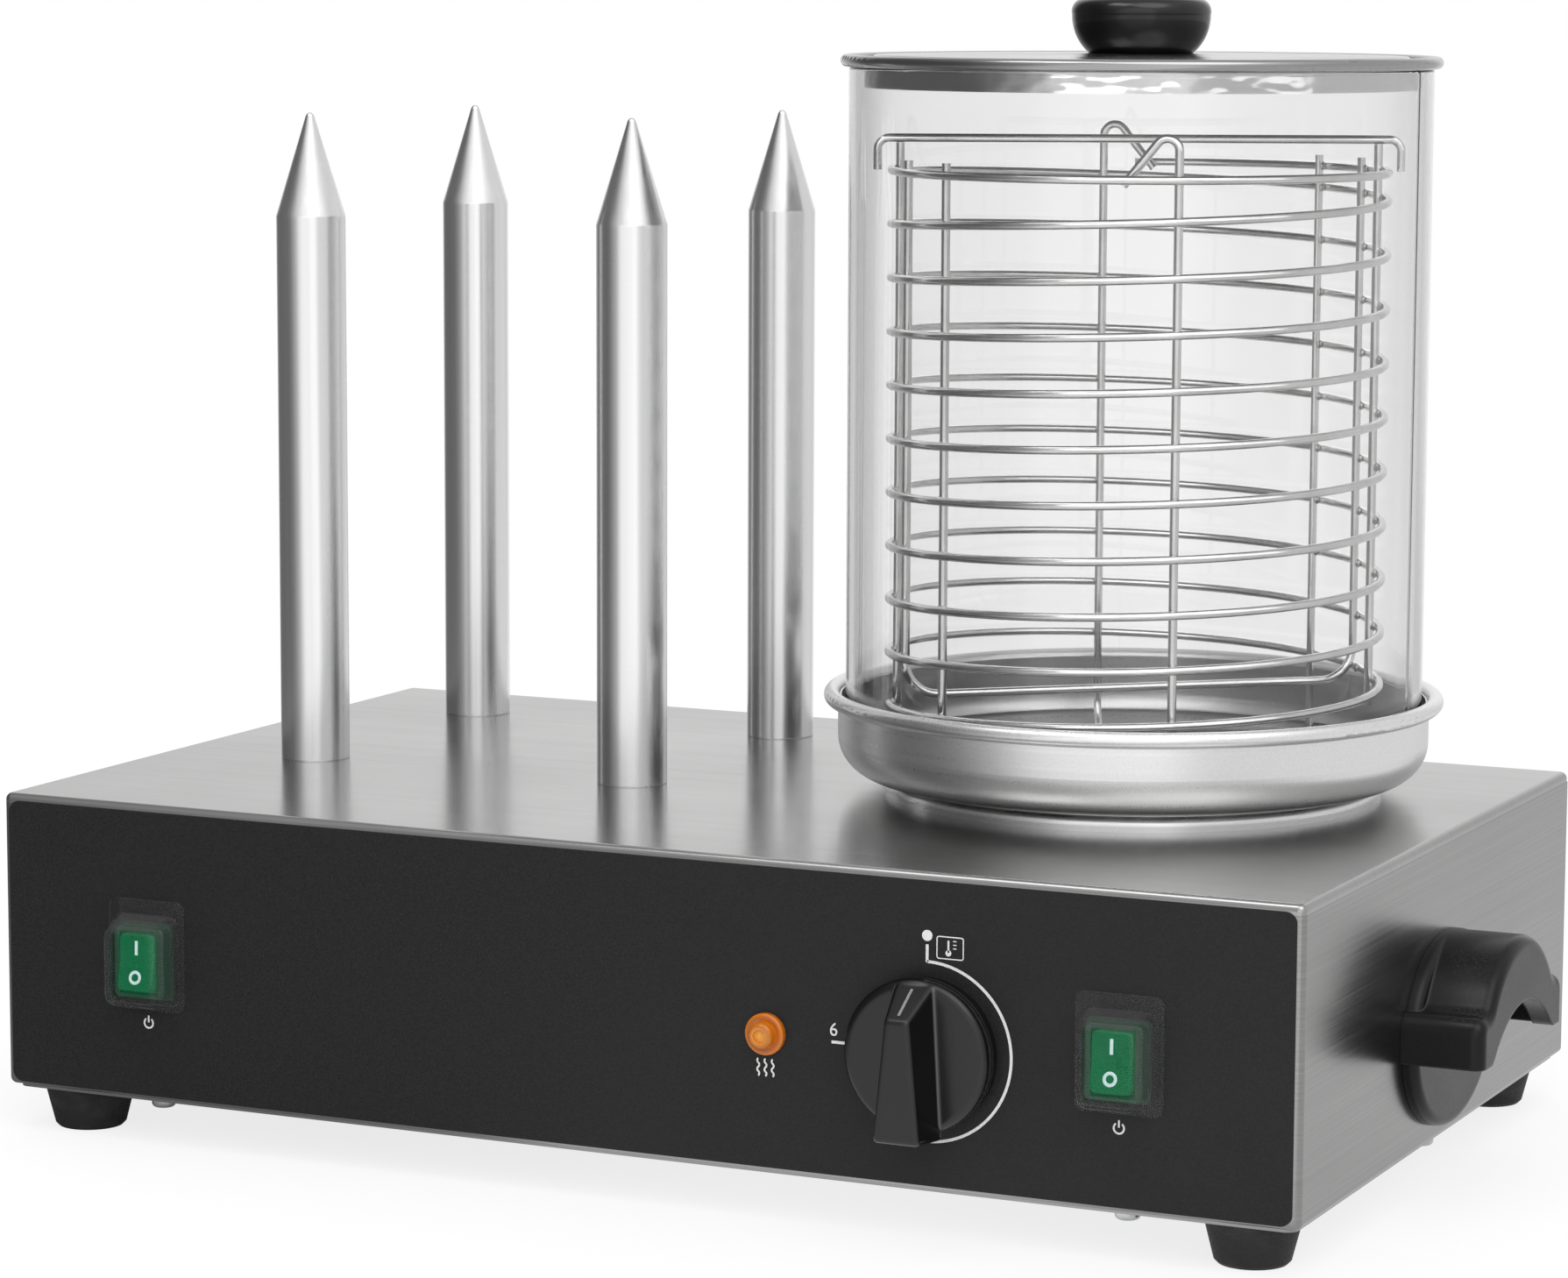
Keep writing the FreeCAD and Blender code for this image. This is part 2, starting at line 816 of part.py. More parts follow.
def bell(x, half, low, high, neck_radius):
    """Three arcs in the plane at x: a hollow neck that starts level at each side and a round crown."""
    rise = high - low
    span = (half ** 2 + rise ** 2) / (2 * rise)
    crown_radius = span - neck_radius
    crown = Vector(x, 0, high - crown_radius)
    neck = Vector(x, -half, low + neck_radius)
    outward = (neck - crown).normalize()
    meet = crown + outward * crown_radius
    hollow = neck - (outward + Z_AXIS).normalize() * neck_radius
    start, top = Vector(x, -half, low), Vector(x, 0, high)

    def mirrored(point):
        return Vector(point.x, -point.y, point.z)

    return [arc(start, hollow, meet), arc(meet, top, mirrored(meet)),
            arc(mirrored(meet), mirrored(hollow), mirrored(start))]


def hood_block(x0, x1, leg_end):
    """The bell shape of the hood: an upright leg and a shoulder on each side under a round crown."""
    side, corner = handle_half_width, handle_shoulder_round
    shoulder = leg_end + handle_shoulder_height
    bend = corner * math.sqrt(0.5)
    edges = bell(x0, side - corner, shoulder, handle_level + handle_half_height, handle_neck_radius)
    for end in (-1, 1):
        leg_top = Vector(x0, end * side, shoulder - corner)
        middle = Vector(x0, end * (side - corner + bend), shoulder - corner + bend)
        edges.append(arc(leg_top, middle, Vector(x0, end * (side - corner), shoulder)))
        edges.append(line(leg_top, Vector(x0, end * side, leg_end)))
    edges.append(line(Vector(x0, -side, leg_end), Vector(x0, side, leg_end)))
    return Part.Face(Part.Wire(Part.__sortEdges__(edges))).extrude(Vector(x1 - x0, 0, 0))


def handle_notch(x0, x1, leg_end):
    """The opening for the fingers in the end wall of the hood."""
    half, low = handle_notch_half_width, leg_end - 1.0
    edges = bell(x0, half, low, leg_end + handle_notch_height, handle_notch_neck)
    edges.append(line(Vector(x0, -half, low), Vector(x0, half, low)))
    return Part.Face(Part.Wire(Part.__sortEdges__(edges))).extrude(Vector(x1 - x0, 0, 0))


def handle():
    """The right handle, on the plane x = half_width."""
    face = half_width
    leg_end = handle_level + handle_leg_level
    plate = oval(handle_plate_half_width, handle_half_height, face, face + handle_plate, handle_level)
    rim = [e for e in plate.Edges if abs(e.CenterOfMass.x - face - handle_plate) < 1e-6]
    plate = plate.makeFillet(handle_plate_round, rim)
    hood = hood_block(face, face + handle_reach, leg_end)
    rim = [e for e in hood.Edges if abs(e.CenterOfMass.x - face - handle_reach) < 1e-6]
    hood = hood.makeFillet(handle_hood_round, [e for e in rim if e.CenterOfMass.z > leg_end + 1e-6])
    hollow = oval(handle_half_width - handle_wall, handle_half_height - handle_wall,
                  face + handle_plate, face + handle_reach - handle_end_wall, handle_level)
    deep = block(face + handle_plate, face + handle_reach - handle_end_wall,
                 -handle_half_width + handle_wall, handle_half_width - handle_wall,
                 handle_level - handle_half_height, handle_level)
    notch = handle_notch(face + handle_plate, face + handle_reach + 1, leg_end)
    hood = hood.cut(hollow).cut(deep).cut(notch)
    whole = fused([plate, hood])
    for place in handle_screw_places:
        whole = whole.cut(rod(handle_screw_radius + fit_gap, place + X_AXIS * face,
                              place + X_AXIS * (face + handle_plate - handle_screw_cover)))
    return whole


right_handle = handle()
save("handle_right", right_handle)
save("handle_left", right_handle.mirror(Vector(0, 0, 0), X_AXIS))
handle_screws = []
for side in (-1, 1):
    for place in handle_screw_places:
        seat = place + X_AXIS * side * (half_width - sheet)
        length = sheet + handle_plate - handle_screw_cover - 4 * fit_gap
        handle_screws.append(pan_screw(handle_screw_radius, length, handle_screw_head,
                                       handle_screw_head_height, seat, X_AXIS * side))
save("handle_screws", handle_screws)

# Spikes: aluminium tubes with a pointed end, a threaded stem and a heater inside
stem_end = top - spike_stem_length
heater_bottom = stem_end + heater_above_stem
heater_top = heater_bottom + heater_length + heater_end_gap


def spike(place):
    shoulder = spike_height - spike_cone
    blend = spike_tip_blend
    tip = top + spike_height
    slope = (spike_radius - spike_tip_radius) / spike_cone
    bore = heater_radius + fit_gap
    outline = [
        line(Vector(bore, 0, stem_end), Vector(spike_stem_radius, 0, stem_end)),
        line(Vector(spike_stem_radius, 0, stem_end), Vector(spike_stem_radius, 0, top)),
        line(Vector(spike_stem_radius, 0, top), Vector(spike_radius, 0, top)),
        line(Vector(spike_radius, 0, top), Vector(spike_radius, 0, top + shoulder)),
        line(Vector(spike_radius, 0, top + shoulder),
             Vector(spike_tip_radius + slope * blend, 0, tip - blend)),
        arc(Vector(spike_tip_radius + slope * blend, 0, tip - blend),
            Vector(spike_tip_belly, 0, tip - spike_tip_belly_drop),
            Vector(spike_tip_flat, 0, tip)),
        line(Vector(spike_tip_flat, 0, tip), Vector(0, 0, tip)),
        line(Vector(0, 0, tip), Vector(0, 0, heater_top)),
        line(Vector(0, 0, heater_top), Vector(bore, 0, heater_top)),
        line(Vector(bore, 0, heater_top), Vector(bore, 0, stem_end)),
    ]
    return turned(outline, place.x, place.y)


def spike_heater(place):
    base = place + Z_AXIS * heater_bottom
    body = rod(heater_radius, base, base + Z_AXIS * heater_length)
    leads = []
    for x in (-heater_lead_offset, heater_lead_offset):
        root = base + X_AXIS * x
        leads.append(rod(heater_lead_radius, root - Z_AXIS * heater_lead_length, root))
    return fused([body] + leads)


washer_top = top - sheet
nut_top = washer_top - spike_washer_thickness
for name, place in zip(spike_names, spike_places):
    save("spike_" + name, spike(place))
save("spike_heaters", [spike_heater(place) for place in spike_places])
save("spike_washers", [tube(spike_washer_radius, spike_stem_radius + fit_gap,
                            place + Z_AXIS * nut_top, place + Z_AXIS * washer_top)
                       for place in spike_places])
save("spike_nuts", [nut(spike_nut_flats, spike_stem_radius + fit_gap,
                        place + Z_AXIS * (nut_top - spike_nut_height), place + Z_AXIS * nut_top)
                    for place in spike_places])

# Hot plate: a cast disc let into the top sheet
spigot_bottom = top - hot_plate_spigot_depth


def hot_plate():
    r, e = hot_plate_radius, hot_plate_edge
    step = e * (1 - math.sqrt(0.5))
    hole = stud_radius + fit_gap
    edges = [
        line(Vector(hole, 0, spigot_bottom), Vector(hot_plate_spigot_radius, 0, spigot_bottom)),
        line(Vector(hot_plate_spigot_radius, 0, spigot_bottom), Vector(hot_plate_spigot_radius, 0, top)),
        line(Vector(hot_plate_spigot_radius, 0, top), Vector(r, 0, top)),
        line(Vector(r, 0, top), Vector(r, 0, hot_plate_top - e)),
        arc(Vector(r, 0, hot_plate_top - e), Vector(r - step, 0, hot_plate_top - step),
            Vector(r - e, 0, hot_plate_top)),
        line(Vector(r - e, 0, hot_plate_top), Vector(hole, 0, hot_plate_top)),
        line(Vector(hole, 0, hot_plate_top), Vector(hole, 0, spigot_bottom)),
    ]
    return turned(edges, pot_x, set_back)


save("hot_plate", hot_plate())

# Dish: spun aluminium with a beaded rim and a stud under its floor
rim_level = top + dish_rim_height
bead_centre = dish_outer_radius + dish_bead_radius - dish_wall / 2


def dish():
    out, wall, corner = dish_outer_radius, dish_wall, dish_corner_radius
    low = hot_plate_top
    k = math.sqrt(0.5)
    centre_r, centre_z = out - corner, low + corner
    inner = corner - wall
    edges = [
        line(Vector(0, 0, low), Vector(centre_r, 0, low)),
        arc(Vector(centre_r, 0, low), Vector(centre_r + corner * k, 0, centre_z - corner * k),
            Vector(out, 0, centre_z)),
        line(Vector(out, 0, centre_z), Vector(out, 0, rim_level)),
        line(Vector(out, 0, rim_level), Vector(out - wall, 0, rim_level)),
        line(Vector(out - wall, 0, rim_level), Vector(out - wall, 0, centre_z)),
        arc(Vector(out - wall, 0, centre_z), Vector(centre_r + inner * k, 0, centre_z - inner * k),
            Vector(centre_r, 0, low + wall)),
        line(Vector(centre_r, 0, low + wall), Vector(0, 0, low + wall)),
        line(Vector(0, 0, low + wall), Vector(0, 0, low)),
    ]
    bowl = turned(edges, pot_x, set_back)
    bead = Part.makeTorus(bead_centre, dish_bead_radius, pot_axis + Z_AXIS * rim_level, Z_AXIS)
    return fused([bowl, bead])


save("dish", dish())

# Stud, ring element, clamp disc and nut under the hot plate
clamp_top = spigot_bottom - 2 * element_tube_radius - 2 * fit_gap
clamp_bottom = clamp_top - clamp_thickness
stud_end = clamp_bottom - stud_below_clamp
save("dish_stud", rod(stud_radius, pot_axis + Z_AXIS * stud_end, pot_axis + Z_AXIS * hot_plate_top))


def plate_element():
    """A ring of heating tube under the hot plate, with both ends turned down."""
    height = spigot_bottom - element_tube_radius - fit_gap - top
    opened = math.degrees(element_end_gap / element_ring_radius)
    first = around(opened, element_ring_radius, height)
    middle = around(180, element_ring_radius, height)
    last = around(-opened, element_ring_radius, height)
    ring = swept([arc(first, middle, last)], element_tube_radius)
    ends = []
    for point in (first, last):
        ends.append(Part.makeSphere(element_tube_radius, point))
        ends.append(rod(element_pin_radius, point, point - Z_AXIS * element_pin_length))
    return fused([ring] + ends)


save("plate_element", plate_element())


def element_clamp():
    disc = rod(clamp_radius, pot_axis + Z_AXIS * clamp_bottom, pot_axis + Z_AXIS * clamp_top)
    disc = disc.cut(rod(stud_radius + fit_gap, pot_axis + Z_AXIS * (clamp_bottom - 1),
                        pot_axis + Z_AXIS * (clamp_top + 1)))
    x_reach = element_tube_radius + clamp_window_margin
    y_reach = element_end_gap + element_tube_radius + clamp_window_margin
    middle = pot_x + element_ring_radius
    return disc.cut(block(middle - x_reach, middle + x_reach, set_back - y_reach, set_back + y_reach,
                          clamp_bottom - 1, clamp_top + 1))


save("element_clamp", element_clamp())
nut_start = pot_axis + Z_AXIS * (clamp_bottom - stud_nut_height)
save("dish_nut", nut(stud_nut_flats, stud_radius + fit_gap, nut_start, pot_axis + Z_AXIS * clamp_bottom))

# Glass: a plain tube that stands on the dish's curved corner
corner_inside = dish_corner_radius - dish_wall
corner_reach = glass_radius - (dish_outer_radius - dish_corner_radius)
seat = hot_plate_top + dish_corner_radius - math.sqrt(corner_inside ** 2 - corner_reach ** 2)
glass_bottom = seat + glass_seat_gap
glass_top = glass_bottom + glass_height


def glass_cylinder():
    shell = tube(glass_radius, glass_radius - glass_wall, pot_axis + Z_AXIS * glass_bottom,
                 pot_axis + Z_AXIS * glass_top)
    return shell.makeFillet(glass_wall * 0.3, [e for e in shell.Edges if e.Closed])


save("glass_cylinder", glass_cylinder())

# Basket levels, which hang from the glass's top edge
bar_height = glass_top - top - bar_below_glass_top
upright_top = bar_height - bar_above_uprights
coil_end_height = bar_height - bar_above_coil
hook_corner_height = bar_height + hook_above_bar
hook_tip_height = hook_corner_height - hook_drop

# Lid: spun steel disc with a rolled edge, a skirt and a knob
lid_base = glass_top + fit_gap
lid_roll = lid_radius - lid_bead_radius
skirt_outer = glass_radius - glass_wall - lid_skirt_gap
lid_rise_radius = skirt_outer + lid_sheet
lid_crown_radius = lid_rise_radius - lid_slope_width
lid_seat_radius = lid_knob_foot_radius + lid_knob_seat
lid_under = lid_base + lid_crown
lid_top = lid_under + lid_sheet


def lid():
    hole = lid_screw_radius + fit_gap
    under = [(hole, lid_under), (lid_seat_radius, lid_under),
             (lid_crown_radius, lid_base + lid_edge_crown), (lid_rise_radius, lid_base),
             (lid_roll, lid_base)]
    over = [(radius, height + lid_sheet) for radius, height in reversed(under)]
    disc = turned_polygon(under + over, pot_x, set_back)
    bead = Part.makeTorus(lid_roll, lid_bead_radius, pot_axis + Z_AXIS * (lid_base + lid_bead_radius), Z_AXIS)
    return fused([disc, bead])


def lid_skirt():
    return tube(skirt_outer, skirt_outer - lid_sheet, pot_axis + Z_AXIS * (lid_base - lid_skirt_depth),
                pot_axis + Z_AXIS * (lid_base + lid_sheet))


lid_shape = lid()
save("lid", lid_shape)
save("lid_skirt", lid_skirt().cut(lid_shape))


def lid_knob():
    """A bowl shaped knob with a round upper edge and a slightly crowned top."""
    low, r = lid_top, lid_knob_radius
    hole = lid_screw_radius + fit_gap
    crown = low + lid_knob_height
    hollow = crown - lid_knob_hollow
    foot = Vector(lid_knob_foot_radius, 0, low)
    belly = Vector(r - lid_knob_belly, 0, low + lid_knob_belly_height)
    shoulder = Vector(r, 0, low + lid_knob_shoulder)
    edge = Vector(r - lid_knob_edge_bulge * 0.3, 0, crown - lid_knob_edge_bulge)
    rim = Vector(r - lid_knob_edge, 0, crown - lid_knob_crown)
    swell = Vector((r + lid_knob_flat_radius) / 2, 0, crown - lid_knob_crown / 4)
    flat = Vector(lid_knob_flat_radius, 0, crown)
    edges = [
        line(Vector(hole, 0, low), foot),
        arc(foot, belly, shoulder),
        arc(shoulder, edge, rim),
        arc(rim, swell, flat),
        line(flat, Vector(0, 0, crown)),
        line(Vector(0, 0, crown), Vector(0, 0, hollow)),
        line(Vector(0, 0, hollow), Vector(hole, 0, hollow)),
        line(Vector(hole, 0, hollow), Vector(hole, 0, low)),
    ]
    return turned(edges, pot_x, set_back)


save("lid_knob", lid_knob())
lid_screw_length = lid_sheet + lid_knob_height - lid_knob_hollow - lid_screw_end_gap
save("lid_knob_screw", pan_screw(lid_screw_radius, lid_screw_length, lid_screw_head, lid_screw_head_height,
                                 pot_axis + Z_AXIS * lid_under, Z_AXIS))

# Basket coil: the space of its wound wire as a plain sleeve, open at both ends


def basket_coil():
    return tube(coil_radius + wire_radius, coil_radius - wire_radius,
                pot_axis + Z_AXIS * (top + coil_start_height - wire_radius),
                pot_axis + Z_AXIS * (top + coil_end_height + wire_radius))


save("basket_coil", basket_coil())

# Basket frames, inside the coil
upright_radius = coil_radius - 2 * wire_radius - weld_gap
floor_wire = dish_floor - top + glass_seat_gap + wire_radius


def sideways(angle, distance):
    """A step along the circle at an angle."""
    turn = math.radians(angle)
    return Vector(-math.sin(turn), math.cos(turn), 0) * distance


def hooked_frame():
    """A U of wire that stands on the dish floor, with both tops bent over as hooks."""
    far = hook_angle + 180
    points = [
        around(hook_angle, upright_radius - hook_inset, hook_tip_height) + sideways(hook_angle, -hook_reach),
        around(hook_angle, upright_radius, hook_corner_height),
        around(hook_angle, upright_radius, floor_wire),
        around(far, upright_radius, floor_wire),
        around(far, upright_radius, hook_corner_height),
        around(far, upright_radius - hook_inset, hook_tip_height) + sideways(far, -hook_reach),
    ]
    radii = [hook_bend_radius, frame_corner_radius, frame_corner_radius, hook_bend_radius]
    return swept(bent_path(points, radii), wire_radius)


def cross_frame():
    """The U of wire whose floor wire shows through the glass."""
    far = cross_angle + 180
    points = [around(cross_angle, upright_radius, upright_top),
              around(cross_angle, upright_radius, cross_wire_height),
              around(far, upright_radius, cross_wire_height),
              around(far, upright_radius, upright_top)]
    return bent_wire(points, frame_corner_radius, wire_radius)


def basket_rods():
    """Two legs down to the dish floor and two posts under the top bar."""
    rods = []
    for angle in (leg_angle, leg_angle + 180):
        rods.append(rod(wire_radius, around(angle, upright_radius, dish_floor - top + glass_seat_gap),
                        around(angle, upright_radius, upright_top)))
    for angle in (post_angle, post_angle + 180):
        rods.append(rod(wire_radius, around(angle, upright_radius, coil_start_height),
                        around(angle, upright_radius, bar_height - wire_radius - weld_gap)))
    return rods


def top_bar():
    """The lifting bar across the basket, with its ends turned down outside the coil."""
    far = post_angle + 180
    points = [around(post_angle, bar_half_span, bar_height - bar_end_drop),
              around(post_angle, bar_half_span, bar_height),
              around(far, bar_half_span, bar_height),
              around(far, bar_half_span, bar_height - bar_end_drop)]
    return bent_wire(points, bar_corner_radius, wire_radius)


save("basket_hooked_frame", hooked_frame())
save("basket_cross_frame", cross_frame())
save("basket_rods", basket_rods())
save("basket_top_bar", top_bar())

# Switches: black housings, green rockers and clear covers
rocker_y = fascia_front - rocker_pivot_out


def blade_tabs(x_places, z_places, start):
    """Flat upright connector blades that stick out to the back."""
    blades = []
    for x in x_places:
        for z in z_places:
            blades.append(block(x - tab_thickness / 2, x + tab_thickness / 2, start, start + tab_length,
                                z - tab_width / 2, z + tab_width / 2))
    return blades


def switch_housing(place):
    """A body through the front, a thin lip on the overlay and a collar that carries the rocker."""
    w, h = switch_body_width / 2, switch_body_height / 2
    bw, bh = switch_bezel_width / 2, switch_bezel_height / 2
    collar_front = fascia_front - switch_collar
    body = block(place.x - w, place.x + w, fascia_front, fascia_front + switch_body_depth,
                 place.z - h, place.z + h)
    bezel = rounded_block(place.x - bw, place.x + bw, fascia_front - switch_bezel_thickness, fascia_front,
                          place.z - bh, place.z + bh, switch_corner, Y_AXIS)
    collar = rounded_block(place.x - w, place.x + w, collar_front, fascia_front,
                           place.z - h, place.z + h, switch_corner, Y_AXIS)
    collar = collar.makeFillet(switch_collar_round, [e for e in collar.Edges
                                                     if abs(e.CenterOfMass.y - collar_front) < 1e-6])
    tabs = blade_tabs((place.x - w / 2, place.x + w / 2), (place.z - h * 0.6, place.z, place.z + h * 0.6),
                      fascia_front + switch_body_depth)
    whole = fused([body, bezel, collar] + tabs)
    cw, ch = rocker_width / 2 + rocker_play, rocker_height / 2 + 2 * rocker_play
    whole = whole.cut(block(place.x - cw, place.x + cw, collar_front - 1, rocker_y + 2 * rocker_back + 1,
                            place.z - ch, place.z + ch))
    pin = Vector(place.x, rocker_y, place.z)
    reach = rocker_width / 2 + pin_reach + rocker_play / 2
    return whole.cut(rod(rocker_pin_radius + rocker_pin_play, pin - X_AXIS * reach, pin + X_AXIS * reach))


def rocker(place):
    """A rocker with two sloping faces, shown with its upper half pressed in."""
    w, h = rocker_width / 2, rocker_height / 2
    face = rocker_y - rocker_proud
    rear = rocker_y + rocker_back
    keel = h * 0.35
    outline = [Vector(place.x - w, face, place.z - h), Vector(place.x - w, face + rocker_dip, place.z),
               Vector(place.x - w, face, place.z + h),
               Vector(place.x - w, rocker_y + rocker_shoulder, place.z + h),
               Vector(place.x - w, rear, place.z + keel),
               Vector(place.x - w, rear, place.z - keel),
               Vector(place.x - w, rocker_y + rocker_shoulder, place.z - h)]
    cap = polygon(outline).extrude(Vector(rocker_width, 0, 0))
    cap = cap.makeFillet(rocker_corner, edges_along(cap, Y_AXIS))
    rim = [e for e in cap.Edges if e.CenterOfMass.y < face + rocker_dip
           and abs(e.CenterOfMass.z - place.z) > rocker_round]
    cap = cap.makeFillet(rocker_round, rim)
    pivot = Vector(place.x, rocker_y, place.z)
    reach = w + pin_reach
    cap = fused([cap, rod(rocker_pin_radius, pivot - X_AXIS * reach, pivot + X_AXIS * reach)])
    cap.rotate(pivot, X_AXIS, -rocker_tilt)
    return cap


def tapered_dome(place, width, height, depth, corner, rounding):
    """A dome on the front at a place, drawn in towards its top more than below, with a round edge."""
    ends = []
    for out, share in ((0.0, 0.0), (depth, 1.0)):
        w, y = width / 2 - share * boot_taper_side, fascia_front - out
        z0 = place.z - height / 2 + share * boot_taper_bottom
        z1 = place.z + height / 2 - share * boot_taper_top
        slab = rounded_block(place.x - w, place.x + w, y, y + 1, z0, z1, corner, Y_AXIS)
        ends.append([f for f in slab.Faces if abs(f.CenterOfMass.y - y) < 1e-6][0].OuterWire)
    dome = Part.makeLoft(ends, True, True)
    return dome.makeFillet(rounding, [e for e in dome.Edges if e.CenterOfMass.y < fascia_front - depth + 1e-3])


def boot(place):
    """A clear silicone cover: a flange against the front, higher above, and a hollow dome."""
    w, h = boot_dome_width / 2 + boot_rim_side, boot_dome_height / 2
    flange = rounded_block(place.x - w, place.x + w, fascia_front - boot_flange, fascia_front,
                           place.z - h - boot_rim_bottom, place.z + h + boot_rim_top,
                           boot_flange_corner, Y_AXIS)
    dome = tapered_dome(place, boot_dome_width, boot_dome_height, boot_dome_depth, boot_corner, boot_dome_round)
    inside = tapered_dome(place, boot_dome_width - 2 * boot_wall, boot_dome_height - 2 * boot_wall,
                          boot_dome_depth - boot_wall, boot_corner - boot_wall, boot_dome_round - boot_wall)
    return fused([flange, dome]).cut(inside)


for side, place in zip(("left", "right"), switch_places):
    save("switch_housing_" + side, switch_housing(place))
    save("rocker_" + side, rocker(place))
    save("switch_boot_" + side, boot(place))

# Pilot lamp: a stepped amber lens on a threaded body with a nut


def front_rim(shape, y):
    """The closed round edges that lie at one depth."""
    return [e for e in shape.Edges if e.Closed and abs(e.CenterOfMass.y - y) < 1e-6]


def lamp_lens():
    base = lamp_place + Y_AXIS * fascia_front
    flange_front = base - Y_AXIS * lamp_flange_thickness
    flange = rod(lamp_flange_radius, base, flange_front)
    flange = flange.makeFillet(lamp_flange_round, front_rim(flange, flange_front.y))
    dome_front = flange_front - Y_AXIS * lamp_dome_height
    dome = rod(lamp_dome_radius, flange_front, dome_front)
    dome = dome.makeFillet(lamp_dome_round, front_rim(dome, dome_front.y))
    recess = rod(lamp_recess_radius, dome_front, dome_front + Y_AXIS * lamp_recess_depth)
    return fused([flange, dome]).cut(recess)


save("lamp_lens", lamp_lens())
lamp_base = lamp_place + Y_AXIS * fascia_front
lamp_end = lamp_base + Y_AXIS * lamp_body_length
lamp_pieces = [rod(lamp_body_radius, lamp_base, lamp_end)]
for x in (-lamp_lead_offset, lamp_lead_offset):
    lead_root = lamp_end + X_AXIS * x
    lamp_pieces.append(rod(lamp_lead_radius, lead_root, lead_root + Y_AXIS * lamp_lead_length))
save("lamp_body", fused(lamp_pieces))
lamp_nut_start = lamp_place + Y_AXIS * front_inside
save("lamp_nut", nut(lamp_nut_flats, lamp_body_radius + fit_gap, lamp_nut_start,
                     lamp_nut_start + Y_AXIS * lamp_nut_thickness))

# Thermostat behind the front, with its ring, shaft, screws and knob
ring_front = fascia_front - dial_ring_thickness


def thermostat_body():
    w, h = thermostat_width / 2, thermostat_height / 2
    case = rounded_block(dial_x - w, dial_x + w, front_inside, front_inside + thermostat_depth,
                         dial_place.z - h, dial_place.z + h, thermostat_corner, Y_AXIS)
    bush = rod(bush_radius, dial_place + Y_AXIS * (fascia_front - bush_proud),
               dial_place + Y_AXIS * front_inside)
    tabs = []
    rear = front_inside + thermostat_depth
    level = dial_place.z - terminal_tab_drop
    for x in (dial_x - terminal_tab_pitch, dial_x, dial_x + terminal_tab_pitch):
        tabs.append(block(x - terminal_tab_width / 2, x + terminal_tab_width / 2, rear, rear + tab_length,
                          level - tab_thickness / 2, level + tab_thickness / 2))
    whole = fused([case, bush] + tabs)
    whole = whole.cut(rod(shaft_radius + shaft_play, dial_place + Y_AXIS * (fascia_front - bush_proud - 1),
                          dial_place + Y_AXIS * (front_inside + shaft_in_body + 1)))
    for place in dial_screw_places:
        whole = whole.cut(rod(dial_screw_radius + fit_gap, place + Y_AXIS * front_inside,
                              place + Y_AXIS * (front_inside + dial_screw_length)))
    return whole


def dial_ring():
    start, end = dial_place + Y_AXIS * ring_front, dial_place + Y_AXIS * fascia_front
    ring = rod(dial_ring_radius, start, end)
    ring = ring.makeFillet(dial_ring_round, front_rim(ring, ring_front))
    ring = ring.cut(rod(dial_ring_bore, start - Y_AXIS, end + Y_AXIS))
    for place in dial_screw_places:
        ring = ring.cut(rod(dial_screw_radius + fit_gap, place + Y_AXIS * (ring_front - 1),
                            place + Y_AXIS * (fascia_front + 1)))
        ring = ring.cut(rod(dial_screw_head + knob_gap, place + Y_AXIS * (ring_front - 1),
                            place + Y_AXIS * (fascia_front - dial_screw_seat)))
    return ring


shaft_front = fascia_front - knob_total + knob_shaft_cover
shaft_back = front_inside + shaft_in_body


def thermostat_shaft():
    return rod(shaft_radius, dial_place + Y_AXIS * shaft_front, dial_place + Y_AXIS * shaft_back)


def knob():
    """A disc with a bar grip that slopes down to the pointer at the top."""
    disc_back = ring_front - knob_gap
    disc_front = disc_back - knob_disc_thickness
    grip_front = fascia_front - knob_total
    disc = rod(knob_radius, dial_place + Y_AXIS * disc_back, dial_place + Y_AXIS * disc_front)
    disc = disc.makeFillet(knob_disc_round, front_rim(disc, disc_front))
    x = dial_x
    foot = dial_place.z - knob_radius - grip_overhang
    head = dial_place.z + knob_radius + grip_overhang
    sections = []
    for y, foot_half, head_half, low, high in (
            (disc_front + grip_draft, grip_back_foot / 2, grip_back_width / 2, foot, head - grip_back_drop),
            (grip_front, grip_front_foot / 2, grip_front_width / 2, foot + grip_draft, head - grip_slope)):
        corners = [Vector(x - foot_half, y, low), Vector(x + foot_half, y, low),
                   Vector(x + head_half, y, high), Vector(x - head_half, y, high)]
        sections.append(Part.makePolygon(corners + [corners[0]]))
    grip = Part.makeLoft(sections, True, True)
    grip = grip.makeFillet(grip_round, [e for e in grip.Edges if e.CenterOfMass.y < disc_front - grip_draft])
    whole = fused([disc, grip])
    return whole.cut(rod(shaft_radius + fit_gap, dial_place + Y_AXIS * (disc_back + 1),
                         dial_place + Y_AXIS * (shaft_front - 0.2)))


save("thermostat_body", thermostat_body())
save("dial_ring", dial_ring())
save("thermostat_shaft", thermostat_shaft())
save("thermostat_knob", knob())
save("dial_screws", [pan_screw(dial_screw_radius, dial_screw_length, dial_screw_head, dial_screw_head_height,
                               place + Y_AXIS * (fascia_front - dial_screw_seat), Y_AXIS)
                     for place in dial_screw_places])

# Sensor: a bulb under the clamp disc and its thin tube to the thermostat
bulb_level = clamp_bottom - bulb_radius - bulb_gap


